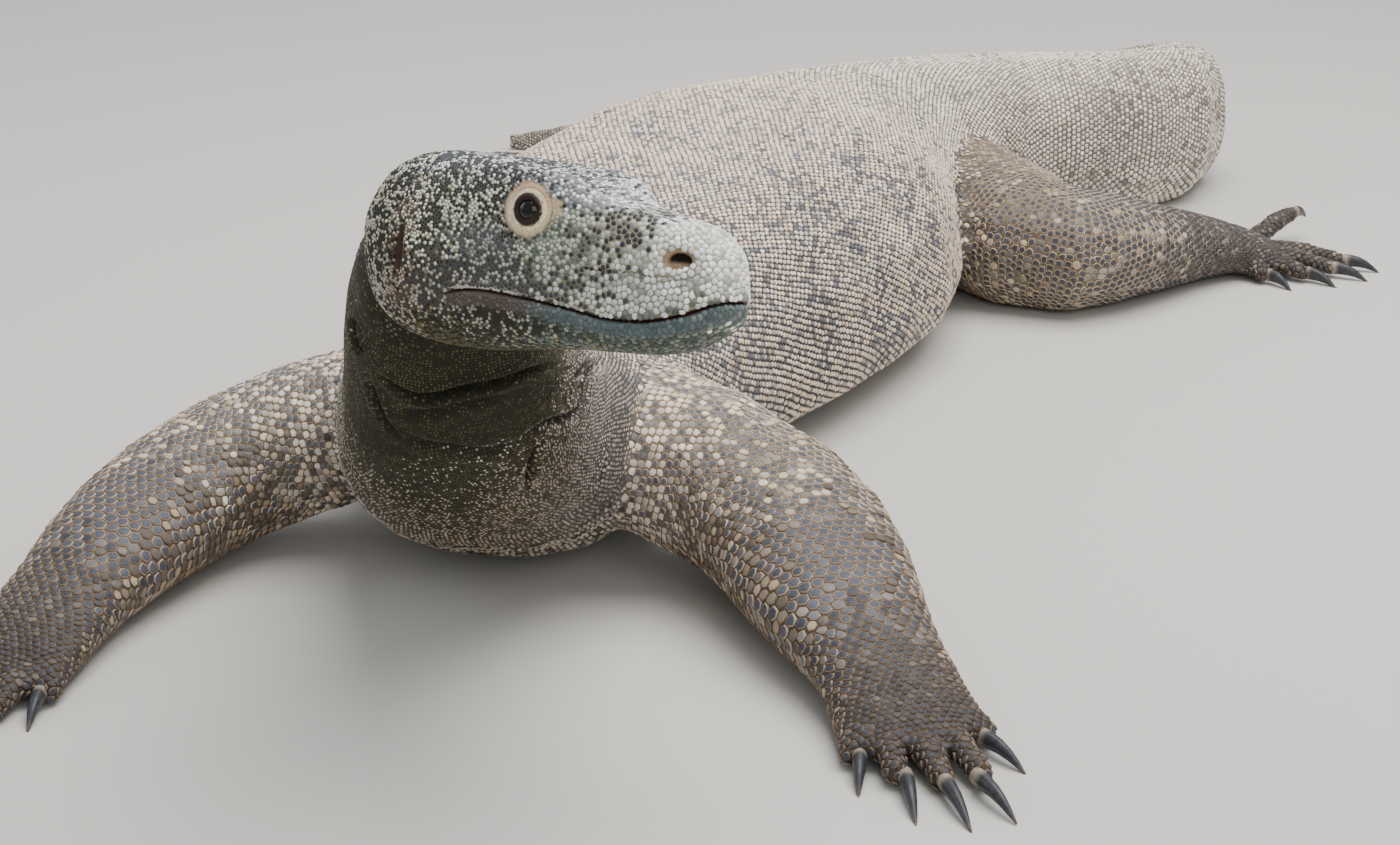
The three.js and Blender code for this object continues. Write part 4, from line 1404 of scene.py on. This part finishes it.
def eyeball(side):
    """An eyeball with its cornea's bulge, and the pupil, iris and white in its Tint."""
    forward = EYE_AXIS * (1, side, 1)
    across = unit(np.cross(forward, (0, 0, 1)))
    up = np.cross(across, forward)
    wide = np.array([turn for turn, _, _ in EYE_STEPS], float)
    turns = np.concatenate([np.linspace(a, b, 4)[:-1] for a, b in zip(wide, wide[1:])] + [wide[-1:]])
    bulge = np.interp(turns, wide, [bulge for _, bulge, _ in EYE_STEPS]) * mm
    colors = np.stack([np.interp(turns, wide, [color[k] for _, _, color in EYE_STEPS])
                       for k in range(3)], 1)
    around = np.arange(EYE_SPOKES) * 2 * math.pi / EYE_SPOKES
    out = (np.cos(around)[:, None] * across + np.sin(around)[:, None] * up)
    tilt = np.radians(turns)[:, None, None]
    rays = np.cos(tilt) * forward + np.sin(tilt) * out[None]
    points = rays * (EYE_RADIUS - 0.3 * mm + bulge)[:, None, None]
    fibres = 1 + 0.35 * noise(np.stack([np.cos(around), np.sin(around), around * 0], 1), 0.12, 3)
    tints = colors[:, None] * np.where((turns > 19) & (turns < 31), 1, 0)[:, None, None] * (
        fibres[None, :, None] - 1) + colors[:, None]
    points = from_head(EYE_AT * (1, side, 1) + points.reshape(-1, 3))
    rows, k = np.arange(len(turns) - 1)[:, None], np.arange(EYE_SPOKES)[None]
    a, b = rows * EYE_SPOKES + k, rows * EYE_SPOKES + (k + 1) % EYE_SPOKES
    quads = np.stack([a, b, b + EYE_SPOKES, a + EYE_SPOKES], 2).reshape(-1, 4)
    if side > 0:
        quads = quads[:, ::-1]
    mesh = mesh_of("eyeball", points, quads)
    set_tint(mesh, np.column_stack([np.clip(tints.reshape(-1, 3), 0, 1), np.ones(len(points))]))
    return mesh


def eye_material():
    material = tinted_material("eye", 0.3, 0.12, 2500, 0.02 * mm, 0.12)
    shader = material.node_tree.nodes["Principled BSDF"]
    shader.inputs["Coat Weight"].default_value = 0.3
    shader.inputs["Coat Roughness"].default_value = 0.02
    return material


def add_eyes():
    material = eye_material()
    for side, name in ((1, "eye_left"), (-1, "eye_right")):
        piece = add_piece("ball_" + name, eyeball(side), material)
        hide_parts(name)


# A claw: half width, half height and height of its middle at its root, in mm, and the same as
# shares along it.
CLAW_ROOT = (4.6, 5.8, 11)
CLAW_LINE = [(-0.1, 1.0, 0.97), (0, 1.06, 1.0), (0.14, 1, 1), (0.38, 0.86, 0.93), (0.6, 0.66, 0.74),
             (0.8, 0.42, 0.44), (0.97, 0.14, 0.13)]
CLAW_RINGS = 26
CLAW_SPOKES = 20
CLAW_DARK = tone(58, 59, 64)
CLAW_PALE = tone(150, 138, 124)


def claw_mesh(claw):
    """A smooth hooked claw that tapers to a point, with a blunt keel below."""
    foot = claw[len("claw_"):-len("_1")]
    root, tip = claw_ends(claw, np.array(KNUCKLES[foot]) * mm)
    points = mesh_points(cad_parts[claw].data)
    lift = root[2] - CLAW_ROOT[2] * mm
    way = unit((tip - root) * (1, 1, 0))
    side = np.array([-way[1], way[0], 0])
    length = ((points - root) @ way).max()
    shares, sizes, heights = np.array(CLAW_LINE).T
    share = np.linspace(shares[0], shares[-1], CLAW_RINGS)
    size = np.interp(share, shares, sizes)
    middle = (root * (1, 1, 0) + way * (share * length / shares[-1])[:, None])
    middle[:, 2] = lift + np.interp(share, shares, heights) * CLAW_ROOT[2] * mm
    turn = np.arange(CLAW_SPOKES) * 2 * math.pi / CLAW_SPOKES
    wide = np.cos(turn) * (1 - 0.18 * np.clip(-np.sin(turn), 0, 1))
    rings = (middle[:, None]
             + (size[:, None] * wide * CLAW_ROOT[0] * mm)[..., None] * side
             + (size[:, None] * np.sin(turn) * CLAW_ROOT[1] * mm)[..., None] * np.array([0, 0, 1]))
    rings = rings.reshape(-1, 3)
    rows, k = np.arange(CLAW_RINGS - 1)[:, None], np.arange(CLAW_SPOKES)[None]
    a, b = rows * CLAW_SPOKES + k, rows * CLAW_SPOKES + (k + 1) % CLAW_SPOKES
    sides = np.stack([a, b, b + CLAW_SPOKES, a + CLAW_SPOKES], 2).reshape(-1, 4)
    last = len(rings) - CLAW_SPOKES
    end = rings[last:].mean(0) + way * 0.5 * mm
    back = rings[:CLAW_SPOKES].mean(0)
    points = np.vstack([rings, end, back])
    points[:, 2] = np.maximum(points[:, 2], 0)
    around, after = np.arange(CLAW_SPOKES), (np.arange(CLAW_SPOKES) + 1) % CLAW_SPOKES
    tris = np.vstack([
        np.concatenate([sides[:, [0, 1, 2]], sides[:, [0, 2, 3]]]),
        np.stack([last + around, last + after, np.full(CLAW_SPOKES, len(rings))], 1),
        np.stack([after, around, np.full(CLAW_SPOKES, len(rings) + 1)], 1)])
    mesh = mesh_of(claw, points, tris)
    pale = np.append(np.repeat(step(0.16, 0.0, share) + 0.25 * step(0.7, 1, share), CLAW_SPOKES),
                     [0.25, 1])[:, None]
    set_tint(mesh, np.column_stack([mixed(CLAW_DARK, CLAW_PALE, pale), np.full(len(points), 0.6)]))
    return mesh


def add_claws():
    material = tinted_material("claw", 0.6, 0.22, 260, 0.15 * mm, 0.28)
    for claw in CLAWS:
        piece = add_piece("smooth_" + claw, claw_mesh(claw), material)
        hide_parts(claw)


def build():
    mesh, _ = base_skin()
    refine(mesh)
    skin = Skin(mesh, sculpt(mesh))
    fields = skin_fields(skin)
    everywhere = Places(skin.points, np.arange(len(skin.points)), fields)
    set_tint(mesh, skin_tints(everywhere))
    piece = add_piece("skin", mesh,
                      tinted_material("skin", 0.75, 0.3, 900, 0.3 * mm, 0.2))
    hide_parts(*FLESH)
    scales = Scales(skin, all_roots(skin), fields)
    scales.find_neighbours()
    add_coat(scales, tinted_material("scales", 0.7, 0.28, 700, 0.12 * mm, 0.16))
    add_eyes()
    add_claws()


build()
